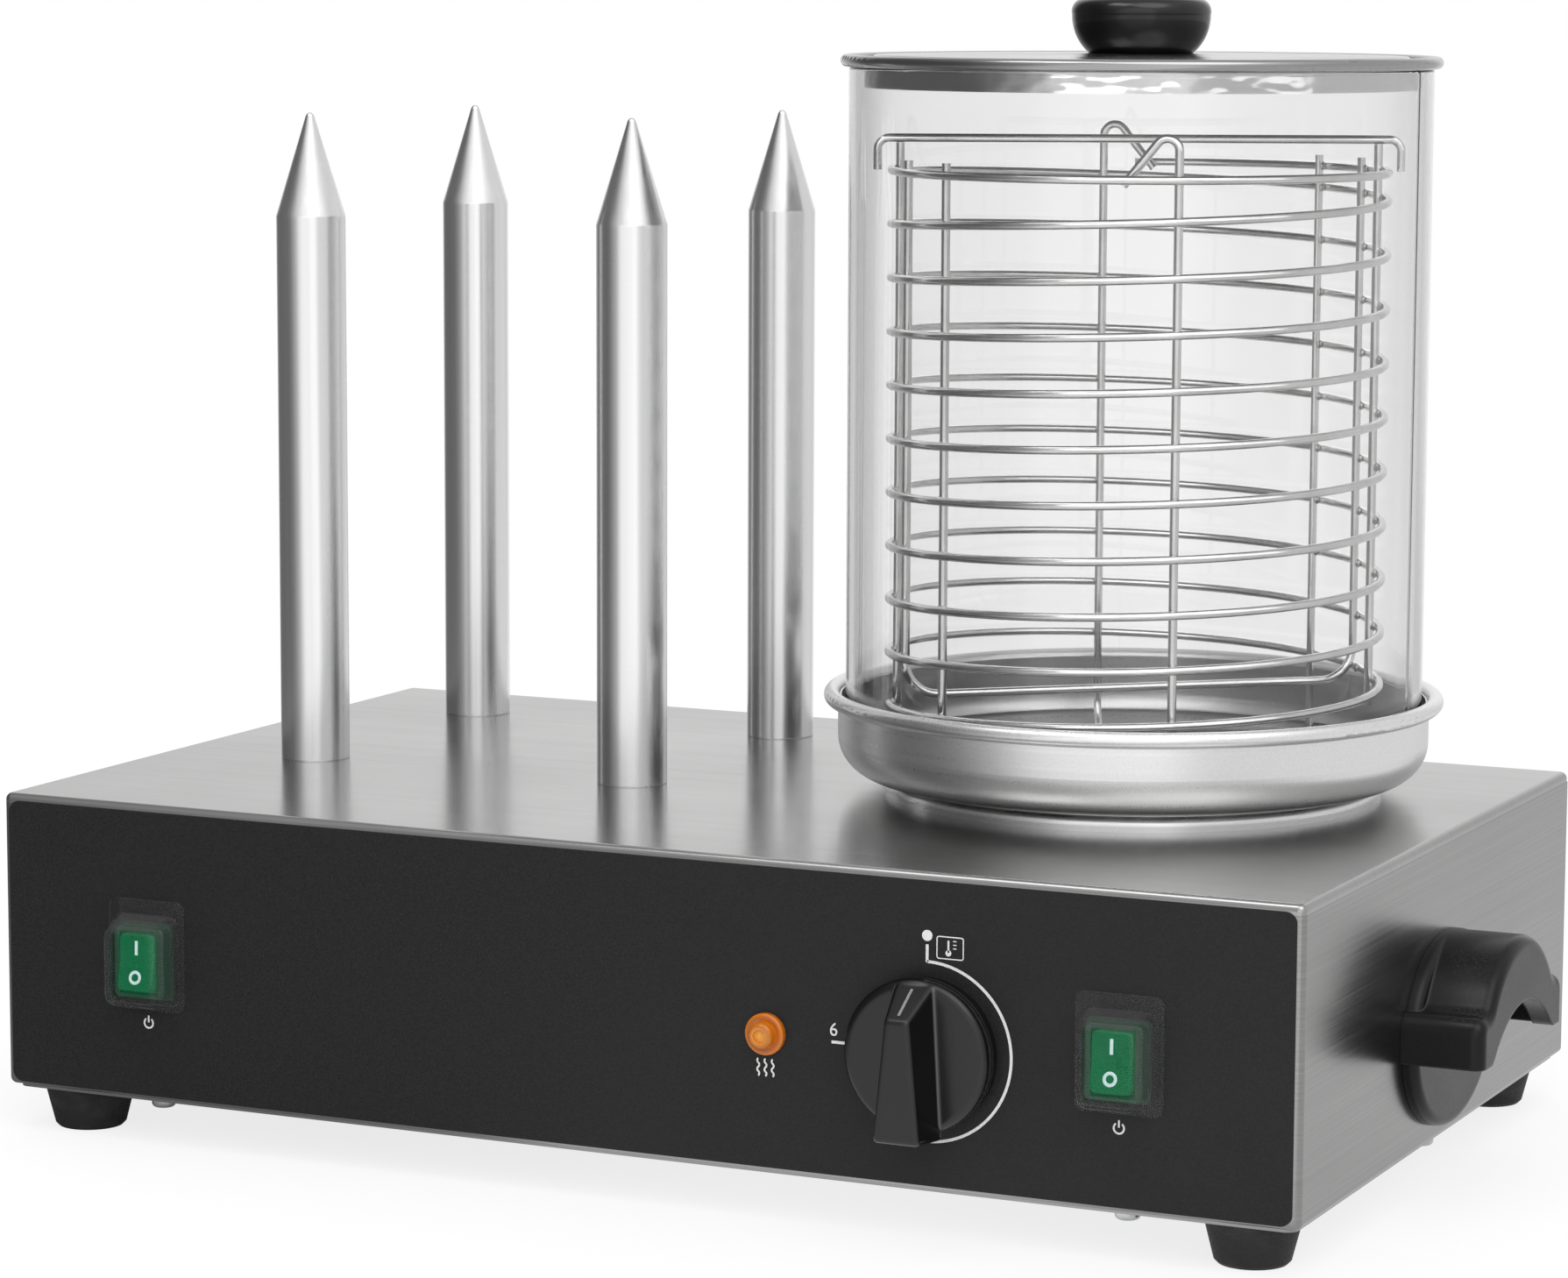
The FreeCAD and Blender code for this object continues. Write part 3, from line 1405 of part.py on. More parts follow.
def sensor():
    bulb_start = Vector(pot_x - bulb_length / 2, set_back - bulb_offset, bulb_level)
    bulb = rod(bulb_radius, bulb_start, bulb_start + X_AXIS * bulb_length)
    leave = dial_place + Vector(sensor_tube_drop, front_inside + thermostat_depth, sensor_tube_drop)
    arrive = bulb_start - X_AXIS * sensor_tube_lead
    points = [leave, leave + Y_AXIS * sensor_tube_run, arrive - Y_AXIS * sensor_tube_run, arrive, bulb_start]
    tail = bent_wire(points, sensor_tube_bend, sensor_tube_radius)
    return fused([bulb, tail])


save("sensor_bulb", sensor())

# Safety cut-out on the clamp disc
cutout_place = around(cutout_angle, cutout_distance, clamp_bottom - top)
cutout_end = cutout_place - Z_AXIS * cutout_height
cutout_pieces = [rod(cutout_radius, cutout_place, cutout_end)]
for x in (cutout_end.x - cutout_tab_offset, cutout_end.x + cutout_tab_offset):
    cutout_pieces.append(block(x - tab_thickness / 2, x + tab_thickness / 2,
                               cutout_end.y - cutout_tab_width / 2, cutout_end.y + cutout_tab_width / 2,
                               cutout_end.z - cutout_tab_length, cutout_end.z))
save("thermal_cutout", fused(cutout_pieces))

# Terminal block on the bottom plate
terminal_x = half_width - terminal_from_side
terminal_y = half_depth - terminal_from_back
terminal_width = terminal_pitch * terminal_ways


def terminal_way_x(way):
    """The middle of one of the block's ways."""
    return terminal_x + (way - (terminal_ways - 1) / 2) * terminal_pitch


def terminal_block():
    y_reach = terminal_depth / 2
    body = block(terminal_x - terminal_width / 2, terminal_x + terminal_width / 2,
                 terminal_y - y_reach, terminal_y + y_reach, floor, floor + terminal_height)
    low = floor + terminal_pocket_level
    for way in range(terminal_ways):
        x = terminal_way_x(way)
        for y in (terminal_y - y_reach, terminal_y + y_reach):
            body = body.cut(block(x - terminal_pocket / 2, x + terminal_pocket / 2, y - terminal_pocket_depth,
                                  y + terminal_pocket_depth, low, low + terminal_pocket_height))
        body = body.cut(rod(terminal_screw_radius, Vector(x, terminal_y, floor + terminal_screw_level),
                            Vector(x, terminal_y, floor + terminal_height + 1)))
    return body


save("terminal_block", terminal_block())

# Wiring: insulated leads laid along the bottom plate


def wiring():
    """One lead from each switch, down to the bottom plate and back to the terminal block."""
    leads = []
    run = floor + lead_lift
    switch_back = fascia_front + switch_body_depth + tab_length
    for way, place in enumerate(switch_places):
        start = Vector(place.x + switch_body_width / 4, switch_back + lead_gap,
                       place.z - switch_body_height * 0.3)
        pin = Vector(terminal_way_x(2 * way), terminal_y - terminal_depth / 2 - lead_gap,
                     floor + terminal_pocket_level + terminal_pocket_height / 2)
        turn_y = start.y + lead_run * (1.8 - 0.7 * way)
        level = run + 2 * lead_radius * way
        leads.append(bent_wire([start, start + Y_AXIS * lead_run,
                                Vector(start.x, start.y + lead_run, level),
                                Vector(start.x, turn_y + lead_run, level),
                                Vector(pin.x, turn_y + 2 * lead_run, level),
                                Vector(pin.x, pin.y - lead_run, run),
                                Vector(pin.x, pin.y - lead_run / 2, pin.z),
                                pin], lead_bend, lead_radius))
    return leads


save("wiring", wiring())

# Cable gland and earth stud on the back


def cable_gland():
    outside = gland_place + Y_AXIS * gland_out
    collar_end = gland_place + Y_AXIS * gland_collar
    collar = hexagon(gland_nut_flats, gland_place, collar_end)
    dome = rod(gland_body_radius, collar_end, outside)
    dome = dome.makeFillet(gland_round, front_rim(dome, outside.y))
    stem = rod(gland_stem_radius, gland_place - Y_AXIS * gland_in, gland_place)
    whole = fused([collar, dome, stem])
    return whole.cut(rod(gland_bore, gland_place - Y_AXIS * (gland_in + 1), outside + Y_AXIS))


save("cable_gland", cable_gland())
lock_start = gland_place - Y_AXIS * sheet
save("gland_locknut", nut(gland_nut_flats, gland_stem_radius + fit_gap,
                          lock_start - Y_AXIS * gland_nut_thickness, lock_start))


def earth_stud():
    stud = rod(earth_radius, earth_place - Y_AXIS * earth_in, earth_place + Y_AXIS * earth_out)
    inside = earth_place - Y_AXIS * sheet
    outer_nut = hexagon(earth_nut_flats, earth_place, earth_place + Y_AXIS * earth_nut_height)
    inner_nut = hexagon(earth_nut_flats, inside - Y_AXIS * earth_nut_height, inside)
    return fused([stud, outer_nut, inner_nut])


save("earth_stud", earth_stud())
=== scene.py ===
import math

import bmesh
import bpy
from mathutils import Matrix, Vector


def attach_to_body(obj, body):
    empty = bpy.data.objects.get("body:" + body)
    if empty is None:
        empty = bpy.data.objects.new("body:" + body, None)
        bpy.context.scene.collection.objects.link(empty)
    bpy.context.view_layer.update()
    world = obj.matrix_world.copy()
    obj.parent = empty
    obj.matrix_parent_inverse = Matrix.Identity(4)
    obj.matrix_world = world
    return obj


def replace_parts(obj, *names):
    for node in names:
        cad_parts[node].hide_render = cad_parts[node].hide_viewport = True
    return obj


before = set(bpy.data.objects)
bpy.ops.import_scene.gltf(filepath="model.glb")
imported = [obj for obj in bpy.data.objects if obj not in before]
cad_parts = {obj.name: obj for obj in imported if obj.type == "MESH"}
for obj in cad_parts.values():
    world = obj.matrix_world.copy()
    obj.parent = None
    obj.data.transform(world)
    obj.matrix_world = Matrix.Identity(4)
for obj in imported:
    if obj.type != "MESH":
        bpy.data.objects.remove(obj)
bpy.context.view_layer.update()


# Casing: a top sheet, a wrap bent round the front and both sides, and a bottom plate, all of
# stainless sheet brushed lengthways. The brush marks run along the front and round the walls.
def new_finish(name, colour, roughness, **sockets):
    """Makes the material of one finish, with its plain values on the shader's own sockets."""
    finish = bpy.data.materials.new(name)
    finish.use_nodes = True
    shader = finish.node_tree.nodes["Principled BSDF"]
    shader.inputs["Base Color"].default_value = (*colour, 1.0)
    shader.inputs["Roughness"].default_value = roughness
    for socket, value in sockets.items():
        shader.inputs[socket.replace("_", " ")].default_value = value
    return finish


def node(finish, kind, inputs=None, **settings):
    """Adds a node to a finish. An input is either a value or the output of another node."""
    tree = finish.node_tree
    made = tree.nodes.new("ShaderNode" + kind)
    for setting, value in settings.items():
        setattr(made, setting, value)
    for socket, value in (inputs or {}).items():
        if isinstance(value, bpy.types.NodeSocket):
            tree.links.new(value, made.inputs[socket])
        else:
            made.inputs[socket].default_value = value
    return made


def attach(finish, socket, output):
    """Leads an output to a socket of the finish's shader."""
    shader = finish.node_tree.nodes["Principled BSDF"]
    finish.node_tree.links.new(output, shader.inputs[socket])


def marks(finish, packing, detail=2.0):
    """Marks all over a piece, packed along x, y and z by so many to the metre."""
    place = node(finish, "TexCoord").outputs["Object"]
    packed = node(finish, "Mapping", {"Vector": place, "Scale": packing}).outputs[0]
    return node(finish, "TexNoise", {"Vector": packed, "Scale": 1.0, "Detail": detail}).outputs[0]


def spread(finish, share, low, high, start=0.3, stop=0.7):
    """Stretches a share from start to stop over the values from low to high."""
    return node(finish, "MapRange", {"Value": share, "From Min": start, "From Max": stop,
                                     "To Min": low, "To Max": high}).outputs[0]


def blended(finish, share, first, second):
    """A colour from first to second by a share. Either may be another node's output."""
    ends = [c if isinstance(c, bpy.types.NodeSocket) else (*c, 1.0) for c in (first, second)]
    return node(finish, "Mix", {0: share, 6: ends[0], 7: ends[1]}, data_type="RGBA").outputs[2]


def relief(finish, height, depth, eased=None):
    """Raises the surface by a height from 0 to 1, depth metres at most. Its edges may be eased."""
    bump = {"Height": height, "Distance": depth}
    if eased is not None:
        bump["Normal"] = eased
    attach(finish, "Normal", node(finish, "Bump", bump).outputs[0])


def roughen(finish, first, second):
    """Roughness from two sets of marks, added up."""
    attach(finish, "Roughness", node(finish, "Math", {0: first, 1: second}).outputs[0])


def grained(finish, direction):
    """Stretches the highlights along a direction, across the tool marks."""
    attach(finish, "Tangent", node(finish, "CombineXYZ", dict(zip("XYZ", direction))).outputs[0])


def dress(finish, *names):
    """Gives the finish to nodes of the frame."""
    for name in names:
        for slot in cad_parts[name].material_slots:
            slot.material = finish


def brushed(name, packing, across, dull, bright, roughness):
    """Brushed stainless sheet: fine scratches, wider soft bands and faint cloudy handling marks."""
    finish = new_finish(name, bright, roughness, Metallic=1.0, Anisotropic=0.55)
    scratches = marks(finish, packing, 4.0)
    bands = marks(finish, [p * 0.14 for p in packing], 2.0)
    clouds = marks(finish, (9, 9, 9), 3.0)
    bare = spread(finish, scratches, 0.0, 1.0, 0.2, 0.8)
    attach(finish, "Base Color", blended(finish, bare, dull, bright))
    rough = node(finish, "Math", {0: spread(finish, scratches, roughness - 0.02, roughness + 0.02),
                                  1: spread(finish, bands, -0.01, 0.01)}).outputs[0]
    roughen(finish, rough, spread(finish, clouds, -0.02, 0.03))
    relief(finish, scratches, 0.0000012)
    grained(finish, across)
    return finish


brushed_top = brushed("brushed_top", (7, 1900, 40), (0, 1, 0),
                      (0.34, 0.34, 0.337), (0.44, 0.44, 0.436), 0.2)
# The wrap, bottom plate and clamp get darker colours than the top sheet of the same steel: a painted
# shade.
shaded_brushed_walls = brushed("shaded_brushed_walls", (7, 7, 1900), (0, 0, 1),
                        (0.26, 0.26, 0.258), (0.35, 0.35, 0.347), 0.23)
dress(brushed_top, "top_sheet")
dress(shaded_brushed_walls, "body_wrap", "bottom_plate", "element_clamp")


# Back panel: the same brushed sheet, a little duller, with rows of vent slots punched through it,
# held by screws.
brushed_back = brushed("brushed_back", (7, 40, 1900), (0, 0, 1),
                       (0.31, 0.31, 0.307), (0.4, 0.4, 0.396), 0.28)
dress(brushed_back, "back_panel")


# Cover, foot and handle screws, nuts and washers: pressed steel with a bright zinc coat that
# has a fine crystal grain and a faint cool cast.
def plain_metal(name, colour, roughness):
    """Metal with a fine crystal grain and duller patches."""
    finish = new_finish(name, colour, roughness, Metallic=1.0)
    grain = marks(finish, (900, 900, 900), 3.0)
    patches = marks(finish, (160, 160, 160), 2.0)
    dull = tuple(c * 0.72 for c in colour)
    attach(finish, "Base Color", blended(finish, spread(finish, patches, 0.0, 1.0), dull, colour))
    attach(finish, "Roughness", spread(finish, grain, roughness - 0.08, roughness + 0.12))
    relief(finish, grain, 0.00002)
    return finish


zinc = plain_metal("zinc_steel", (0.62, 0.63, 0.64), 0.3)
dress(zinc, "bottom_screws", "back_screws", "foot_screws", "foot_nuts", "handle_screws", "dial_screws",
      "lid_knob_screw", "spike_nuts", "spike_washers", "dish_stud", "dish_nut", "thermostat_shaft")


# Feet: four tapered plugs of moulded black rubber with a matt skin that picks up dust, each held by
# a screw and a nut.
foot_rubber = new_finish("foot_rubber", (0.016, 0.016, 0.016), 0.62, Specular_IOR_Level=0.35)
skin = marks(foot_rubber, (1400, 1400, 1400), 3.0)
dust = marks(foot_rubber, (70, 70, 140), 4.0)
attach(foot_rubber, "Base Color", blended(foot_rubber, spread(foot_rubber, dust, 0.0, 1.0, 0.45, 0.8),
                                          (0.012, 0.012, 0.012), (0.035, 0.034, 0.033)))
attach(foot_rubber, "Roughness", spread(foot_rubber, skin, 0.5, 0.72))
relief(foot_rubber, skin, 0.00004)
dress(foot_rubber, "foot_front_left", "foot_front_right", "foot_back_left", "foot_back_right")


# Front overlay: a stiff charcoal plastic sheet with a fine matt grain, stuck to the front of the
# wrap. Its lines and signs are screen printed in pale grey.
overlay_front = -0.1455
print_depth = 0.00012
charcoal = new_finish("charcoal_overlay", (0.012, 0.012, 0.0123), 0.5, Specular_IOR_Level=0.22)
grain = marks(charcoal, (1500, 1500, 1500), 2.0)
mottle = marks(charcoal, (60, 60, 60), 4.0)
attach(charcoal, "Base Color", blended(charcoal, spread(charcoal, grain, 0.0, 1.0),
                                       (0.0085, 0.0085, 0.0088), (0.0155, 0.0155, 0.0158)))
roughen(charcoal, spread(charcoal, grain, 0.46, 0.6), spread(charcoal, mottle, -0.04, 0.04))
relief(charcoal, grain, 0.00003)
dress(charcoal, "front_fascia")

print_grey = new_finish("print_grey", (0.6, 0.6, 0.59), 0.55, Specular_IOR_Level=0.3)
ink = marks(print_grey, (2600, 2600, 2600), 2.0)
attach(print_grey, "Base Color", blended(print_grey, spread(print_grey, ink, 0.0, 1.0, 0.25, 0.5),
                                         (0.42, 0.42, 0.415), (0.64, 0.64, 0.63)))
relief(print_grey, ink, 0.00001)


def piece(name, shape, finish, body):
    """Makes a finished shape a piece that rides on a body."""
    bmesh.ops.recalc_face_normals(shape, faces=shape.faces)
    mesh = bpy.data.meshes.new(name)
    shape.to_mesh(mesh)
    shape.free()
    mesh.materials.append(finish)
    made = bpy.data.objects.new(name, mesh)
    bpy.context.collection.objects.link(made)
    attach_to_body(made, body)
    return made


def print_bar(shape, x, z, wide, high):
    """A printed bar on the overlay, its middle at x and z."""
    place = Matrix.Translation((x, overlay_front - print_depth / 2, z))
    bmesh.ops.create_cube(shape, size=1.0, matrix=place @ Matrix.Diagonal((wide, print_depth, high, 1.0)))


def print_dot(shape, x, z, radius):
    """A printed round dot on the overlay."""
    place = Matrix.Translation((x, overlay_front - print_depth / 2, z))
    place @= Matrix.Rotation(math.pi / 2, 4, "X")
    bmesh.ops.create_cone(shape, cap_ends=True, segments=40, radius1=radius, radius2=radius,
                          depth=print_depth, matrix=place)


def print_arc(shape, x, z, radius, line, start, sweep):
    """A printed line round x and z, from start clockwise over sweep, in degrees from the top."""
    middle = Vector((x, overlay_front - print_depth / 2, z))
    bar = bmesh.ops.create_grid(shape, x_segments=1, y_segments=1, size=0.5,
                                matrix=Matrix.Translation(middle + Vector((0, 0, radius)))
                                @ Matrix.Rotation(math.pi / 2, 4, "Y")
                                @ Matrix.Diagonal((line, print_depth, 1.0, 1.0)))["verts"]
    bmesh.ops.rotate(shape, verts=bar, cent=middle, matrix=Matrix.Rotation(math.radians(start), 3, "Y"))
    rim = list({edge for vert in bar for edge in vert.link_edges})
    inside = list({face for vert in bar for face in vert.link_faces})
    bmesh.ops.delete(shape, geom=inside, context="FACES_ONLY")
    bmesh.ops.spin(shape, geom=bar + rim, cent=middle, axis=(0, 1, 0), angle=math.radians(sweep),
                   steps=max(8, round(sweep / 4)))
    bmesh.ops.holes_fill(shape, edges=[edge for edge in shape.edges if edge.is_boundary])


dial_x, dial_z = 0.113, 0.0617
scale_radius, scale_line = 0.0295, 0.00095
scale_print = bmesh.new()
print_arc(scale_print, dial_x, dial_z, scale_radius, scale_line, 0, 186)
print_bar(scale_print, dial_x, dial_z + 0.0322, scale_line, 0.0058)
print_dot(scale_print, dial_x, dial_z + 0.038, 0.0018)
print_bar(scale_print, dial_x - 0.0308, dial_z, 0.0054, scale_line)
piece("dial_scale", scale_print, print_grey, "housing")

# The number beside the dial: the highest step of the scale.
number = bpy.data.curves.new("dial_number", "FONT")
number.body = "6"
number.size = 0.0062
number.extrude = print_depth / 2
number.align_x = "CENTER"
number_object = bpy.data.objects.new("dial_number", number)
bpy.context.collection.objects.link(number_object)
bpy.context.view_layer.update()
number_shape = bmesh.new()
number_shape.from_mesh(bpy.data.meshes.new_from_object(number_object.evaluated_get(
    bpy.context.evaluated_depsgraph_get())))
bpy.data.objects.remove(number_object)
bmesh.ops.remove_doubles(number_shape, verts=number_shape.verts, dist=1e-6)
number_place = Matrix.Translation((dial_x - 0.0328, overlay_front - print_depth / 2, dial_z + 0.0021))
number_place @= Matrix.Rotation(math.pi / 2, 4, "X")
bmesh.ops.transform(number_shape, verts=number_shape.verts, matrix=number_place)
piece("dial_number_print", number_shape, print_grey, "housing")

# The heat sign beside the scale: a thermometer with three marks in a frame with round corners.
sign_x, sign_z = dial_x + 0.008, dial_z + 0.0345
sign_wide, sign_high, sign_line, sign_corner = 0.0095, 0.0075, 0.00035, 0.0009
sign_print = bmesh.new()
for side in (-1, 1):
    print_bar(sign_print, sign_x, sign_z + side * (sign_high - sign_line) / 2,
              sign_wide - 2 * sign_corner, sign_line)
    print_bar(sign_print, sign_x + side * (sign_wide - sign_line) / 2, sign_z,
              sign_line, sign_high - 2 * sign_corner)
    for level, start in ((1, 0 if side > 0 else 270), (-1, 90 if side > 0 else 180)):
        print_arc(sign_print, sign_x + side * (sign_wide / 2 - sign_corner),
                  sign_z + level * (sign_high / 2 - sign_corner),
                  sign_corner - sign_line / 2, sign_line, start, 90)
stem_x = sign_x - 0.0006
print_dot(sign_print, stem_x, sign_z - 0.0017, 0.001)
print_bar(sign_print, stem_x, sign_z + 0.0004, 0.0006, 0.004)
for step in range(3):
    print_bar(sign_print, sign_x + 0.0016, sign_z - 0.0001 + step * 0.0012, 0.0012, 0.0003)
piece("heat_sign", sign_print, print_grey, "housing")

# The sign under the lamp: three rising waves of heat.
lamp_sign_x, lamp_sign_z = 0.0558, 0.0509
wave_radius, wave_line, wave_pitch = 0.0009, 0.0006, 0.0026
lamp_sign = bmesh.new()
for column in (-1, 0, 1):
    x = lamp_sign_x + column * wave_pitch
    for level, side in ((1.5, 1), (0.5, -1), (-0.5, 1), (-1.5, -1)):
        print_arc(lamp_sign, x + side * wave_radius * 0.6, lamp_sign_z + level * wave_radius * 1.6,
                  wave_radius, wave_line, -side * 90 - 52, 104)
piece("lamp_sign", lamp_sign, print_grey, "housing")

# The sign under each switch: a ring that is open at the top, with a short bar in the gap.
switch_places = {"left": -0.181, "right": 0.1795}
switch_sign_z, switch_sign_radius, switch_sign_line = 0.0434, 0.00175, 0.0006
for side, x in switch_places.items():
    switch_sign = bmesh.new()
    print_arc(switch_sign, x, switch_sign_z, switch_sign_radius, switch_sign_line, 38, 284)
    print_bar(switch_sign, x, switch_sign_z + 0.0014, switch_sign_line, 0.0024)
    piece("switch_sign_" + side, switch_sign, print_grey, "housing")


# Spikes: drawn aluminium bar with faint streaks along it, turned to a cone, and inside each a dull
# steel heater cartridge.
def from_centre(finish, centre, kept=(1, 1, 1)):
    """The way from a centre to each point of a piece, with only the axes that are kept."""
    place = node(finish, "TexCoord").outputs["Object"]
    back = [-c * k for c, k in zip(centre, kept)]
    return node(finish, "Mapping", {"Vector": place, "Location": back, "Scale": kept}).outputs[0]


def turned(finish, centre, axis, fineness):
    """Tool marks that run round an axis through a centre, both on flat faces and on sides."""
    centred = from_centre(finish, centre)
    along = node(finish, "VectorMath", {0: centred, 1: axis}, operation="DOT_PRODUCT").outputs["Value"]
    beside = [1.0 - a for a in axis]
    flat = node(finish, "VectorMath", {0: centred, 1: beside}, operation="MULTIPLY").outputs[0]
    out = node(finish, "VectorMath", {0: flat}, operation="LENGTH").outputs["Value"]
    pitch = node(finish, "Math", {0: along, 1: out}, operation="ADD").outputs[0]
    return node(finish, "TexNoise", {"W": pitch, "Scale": fineness, "Detail": 3.0},
                noise_dimensions="1D").outputs[0]


def turned_metal(name, centre, axis, dull, bright, roughness):
    """Turned aluminium or brass: rings of tool marks over a faint smear from handling."""
    finish = new_finish(name, bright, roughness, Metallic=1.0, Anisotropic=0.3)
    rings = turned(finish, centre, axis, 1600)
    smear = marks(finish, (35, 35, 14), 3.0)
    attach(finish, "Base Color",
           blended(finish, spread(finish, rings, 0.0, 1.0, 0.2, 0.8), dull, bright))
    roughen(finish, spread(finish, rings, roughness - 0.02, roughness + 0.03),
            spread(finish, smear, -0.03, 0.05))
    relief(finish, rings, 0.000002)
    grained(finish, axis)
    return finish


def drawn_aluminium(name, centre):
    """Drawn aluminium bar: soft streaks along it, very faint rings, and a smear from handling."""
    finish = new_finish(name, (0.84, 0.84, 0.845), 0.24, Metallic=1.0)
    streaks = marks(finish, (420, 420, 2), 2.0)
    rings = turned(finish, centre, (0, 0, 1), 1300)
    smear = marks(finish, (45, 45, 12), 3.0)
    dull, bright = (0.8, 0.8, 0.805), (0.88, 0.88, 0.885)
    drawn = blended(finish, spread(finish, streaks, 0.0, 1.0, 0.2, 0.8), dull, bright)
    attach(finish, "Base Color", blended(finish, spread(finish, rings, 0.0, 0.3), drawn, dull))
    roughen(finish, spread(finish, streaks, 0.22, 0.26), spread(finish, smear, -0.02, 0.03))
    eased = node(finish, "Bevel", {"Radius": 0.0008}, samples=6).outputs[0]
    relief(finish, rings, 0.0000006, eased)
    return finish


top_height = 0.12
for across, x in (("left", -0.183), ("right", -0.053)):
    for depth, y in (("front", -0.027), ("back", 0.097)):
        name = "spike_" + depth + "_" + across
        dress(drawn_aluminium(name, (x, y, top_height)), name)

heater_steel = plain_metal("heater_steel", (0.3, 0.29, 0.28), 0.45)
dress(heater_steel, "spike_heaters", "plate_element")


# Hot plate: a thick disc of aluminium on the top sheet, turned on a lathe, which leaves fine rings
# on it. The ring element under it heats it.
pot = (0.113, 0.035, top_height)
hot_plate_turned = turned_metal("hot_plate_turned", pot, (0, 0, 1),
                                (0.74, 0.74, 0.745), (0.84, 0.84, 0.845), 0.26)
dress(hot_plate_turned, "hot_plate")


# Water dish: spun from aluminium sheet and rolled over at the rim, with a fine blasted grain. Its
# floor is darkened and stained by boiled water.
dish_floor_radius = 0.093
spun_dish = new_finish("spun_dish", (0.8, 0.8, 0.8), 0.34, Metallic=1.0)
blast = marks(spun_dish, (2200, 2200, 2200), 3.0)
spinning = turned(spun_dish, pot, (0, 0, 1), 500)
stains = marks(spun_dish, (55, 55, 20), 5.0)
from_axis = node(spun_dish, "VectorMath", {0: from_centre(spun_dish, pot, (1, 1, 0))},
                 operation="LENGTH").outputs["Value"]
floor_share = spread(spun_dish, from_axis, 1.0, 0.0,
                     dish_floor_radius - 0.006, dish_floor_radius + 0.003)
clean = blended(spun_dish, spread(spun_dish, blast, 0.0, 1.0), (0.78, 0.78, 0.78), (0.9, 0.9, 0.9))
stained = blended(spun_dish, spread(spun_dish, stains, 0.0, 1.0, 0.4, 0.62),
                  (0.1, 0.1, 0.1), (0.34, 0.335, 0.33))
attach(spun_dish, "Base Color", blended(spun_dish, floor_share, clean, stained))
roughen(spun_dish, spread(spun_dish, blast, 0.28, 0.38), spread(spun_dish, spinning, -0.03, 0.04))
relief(spun_dish, blast, 0.000012)
dress(spun_dish, "dish")


# Glass: a loose cylinder of clear drawn glass with fire polished ends, standing in the dish. Its
# draw lines show as very faint upright waves.
clear_glass = new_finish("clear_glass", (0.96, 0.96, 0.96), 0.0, Transmission_Weight=1.0, IOR=1.47)
draw_lines = marks(clear_glass, (90, 90, 1.2), 2.0)
film = marks(clear_glass, (40, 40, 14), 4.0)
edge_on = node(clear_glass, "LayerWeight", {"Blend": 0.5}).outputs["Facing"]
attach(clear_glass, "Base Color", blended(clear_glass, spread(clear_glass, edge_on, 0.0, 1.0, 0.5, 0.8),
                                          (0.93, 0.93, 0.93), (0.74, 0.74, 0.74)))
attach(clear_glass, "Roughness", spread(clear_glass, film, 0.0, 0.03, 0.5, 0.8))
relief(clear_glass, draw_lines, 0.00003)
dress(clear_glass, "glass_cylinder")


# Lid: pressed and spun stainless steel with a rolled rim, and a skirt that drops inside the glass.
# Its knob is moulded black plastic, held by a screw from below.
def polished_round(name, centre, dull, bright, roughness):
    """Polished steel with faint rings from the buffing wheel and a little haze."""
    finish = new_finish(name, bright, roughness, Metallic=1.0, Anisotropic=0.3)
    rings = turned(finish, centre, (0, 0, 1), 700)
    haze = marks(finish, (30, 30, 30), 4.0)
    attach(finish, "Base Color", blended(finish, spread(finish, rings, 0.0, 1.0), dull, bright))
    roughen(finish, spread(finish, rings, roughness - 0.03, roughness + 0.05),
            spread(finish, haze, -0.02, 0.05))
    relief(finish, rings, 0.000008)
    return finish


# The lid gets much darker colours than the skirt of the same steel: a painted shade on its top.
dress(polished_round("shaded_polished_lid", pot, (0.3, 0.3, 0.3), (0.4, 0.4, 0.4), 0.16), "lid")
bright_skirt = polished_round("bright_skirt", pot, (0.55, 0.55, 0.55), (0.72, 0.72, 0.72), 0.1)
relief(bright_skirt, marks(bright_skirt, (45, 45, 90), 2.0), 0.0014)
dress(bright_skirt, "lid_skirt")


def black_moulding(name, shade, roughness, fineness, edge, edge_highlight=0.0, shine=0.5):
    """Black moulded plastic: faint orange peel, duller patches, and soft edges lit by a painted highlight.
    """
    finish = new_finish(name, (shade,) * 3, roughness, Specular_IOR_Level=shine)
    peel = marks(finish, (fineness,) * 3, 2.0)
    patches = marks(finish, (55, 55, 55), 3.0)
    eased = node(finish, "Bevel", {"Radius": edge}, samples=8).outputs[0]
    flat = node(finish, "NewGeometry").outputs["Normal"]
    turn = node(finish, "VectorMath", {0: eased, 1: flat}, operation="DOT_PRODUCT").outputs["Value"]
    # Painted highlight: the base colour turns pale grey where the eased normal bends away from the face,
    # along every edge.
    lighter_share = spread(finish, turn, 0.0, edge_highlight, 0.99, 0.85)
    skin = blended(finish, spread(finish, patches, 0.0, 1.0), (shade * 0.9,) * 3, (shade * 1.15,) * 3)
    attach(finish, "Base Color", blended(finish, lighter_share, skin, (0.09, 0.09, 0.09)))
    roughen(finish, spread(finish, patches, roughness - 0.02, roughness + 0.02),
            spread(finish, peel, -0.02, 0.02))
    relief(finish, peel, 0.000002, eased)
    return finish


# The dial knob's edges get a strong painted highlight.
dress(black_moulding("knob_black", 0.0025, 0.24, 700, 0.002, 0.9), "thermostat_knob")
dress(black_moulding("lid_knob_black", 0.004, 0.16, 500, 0.0008), "lid_knob", "dial_ring")


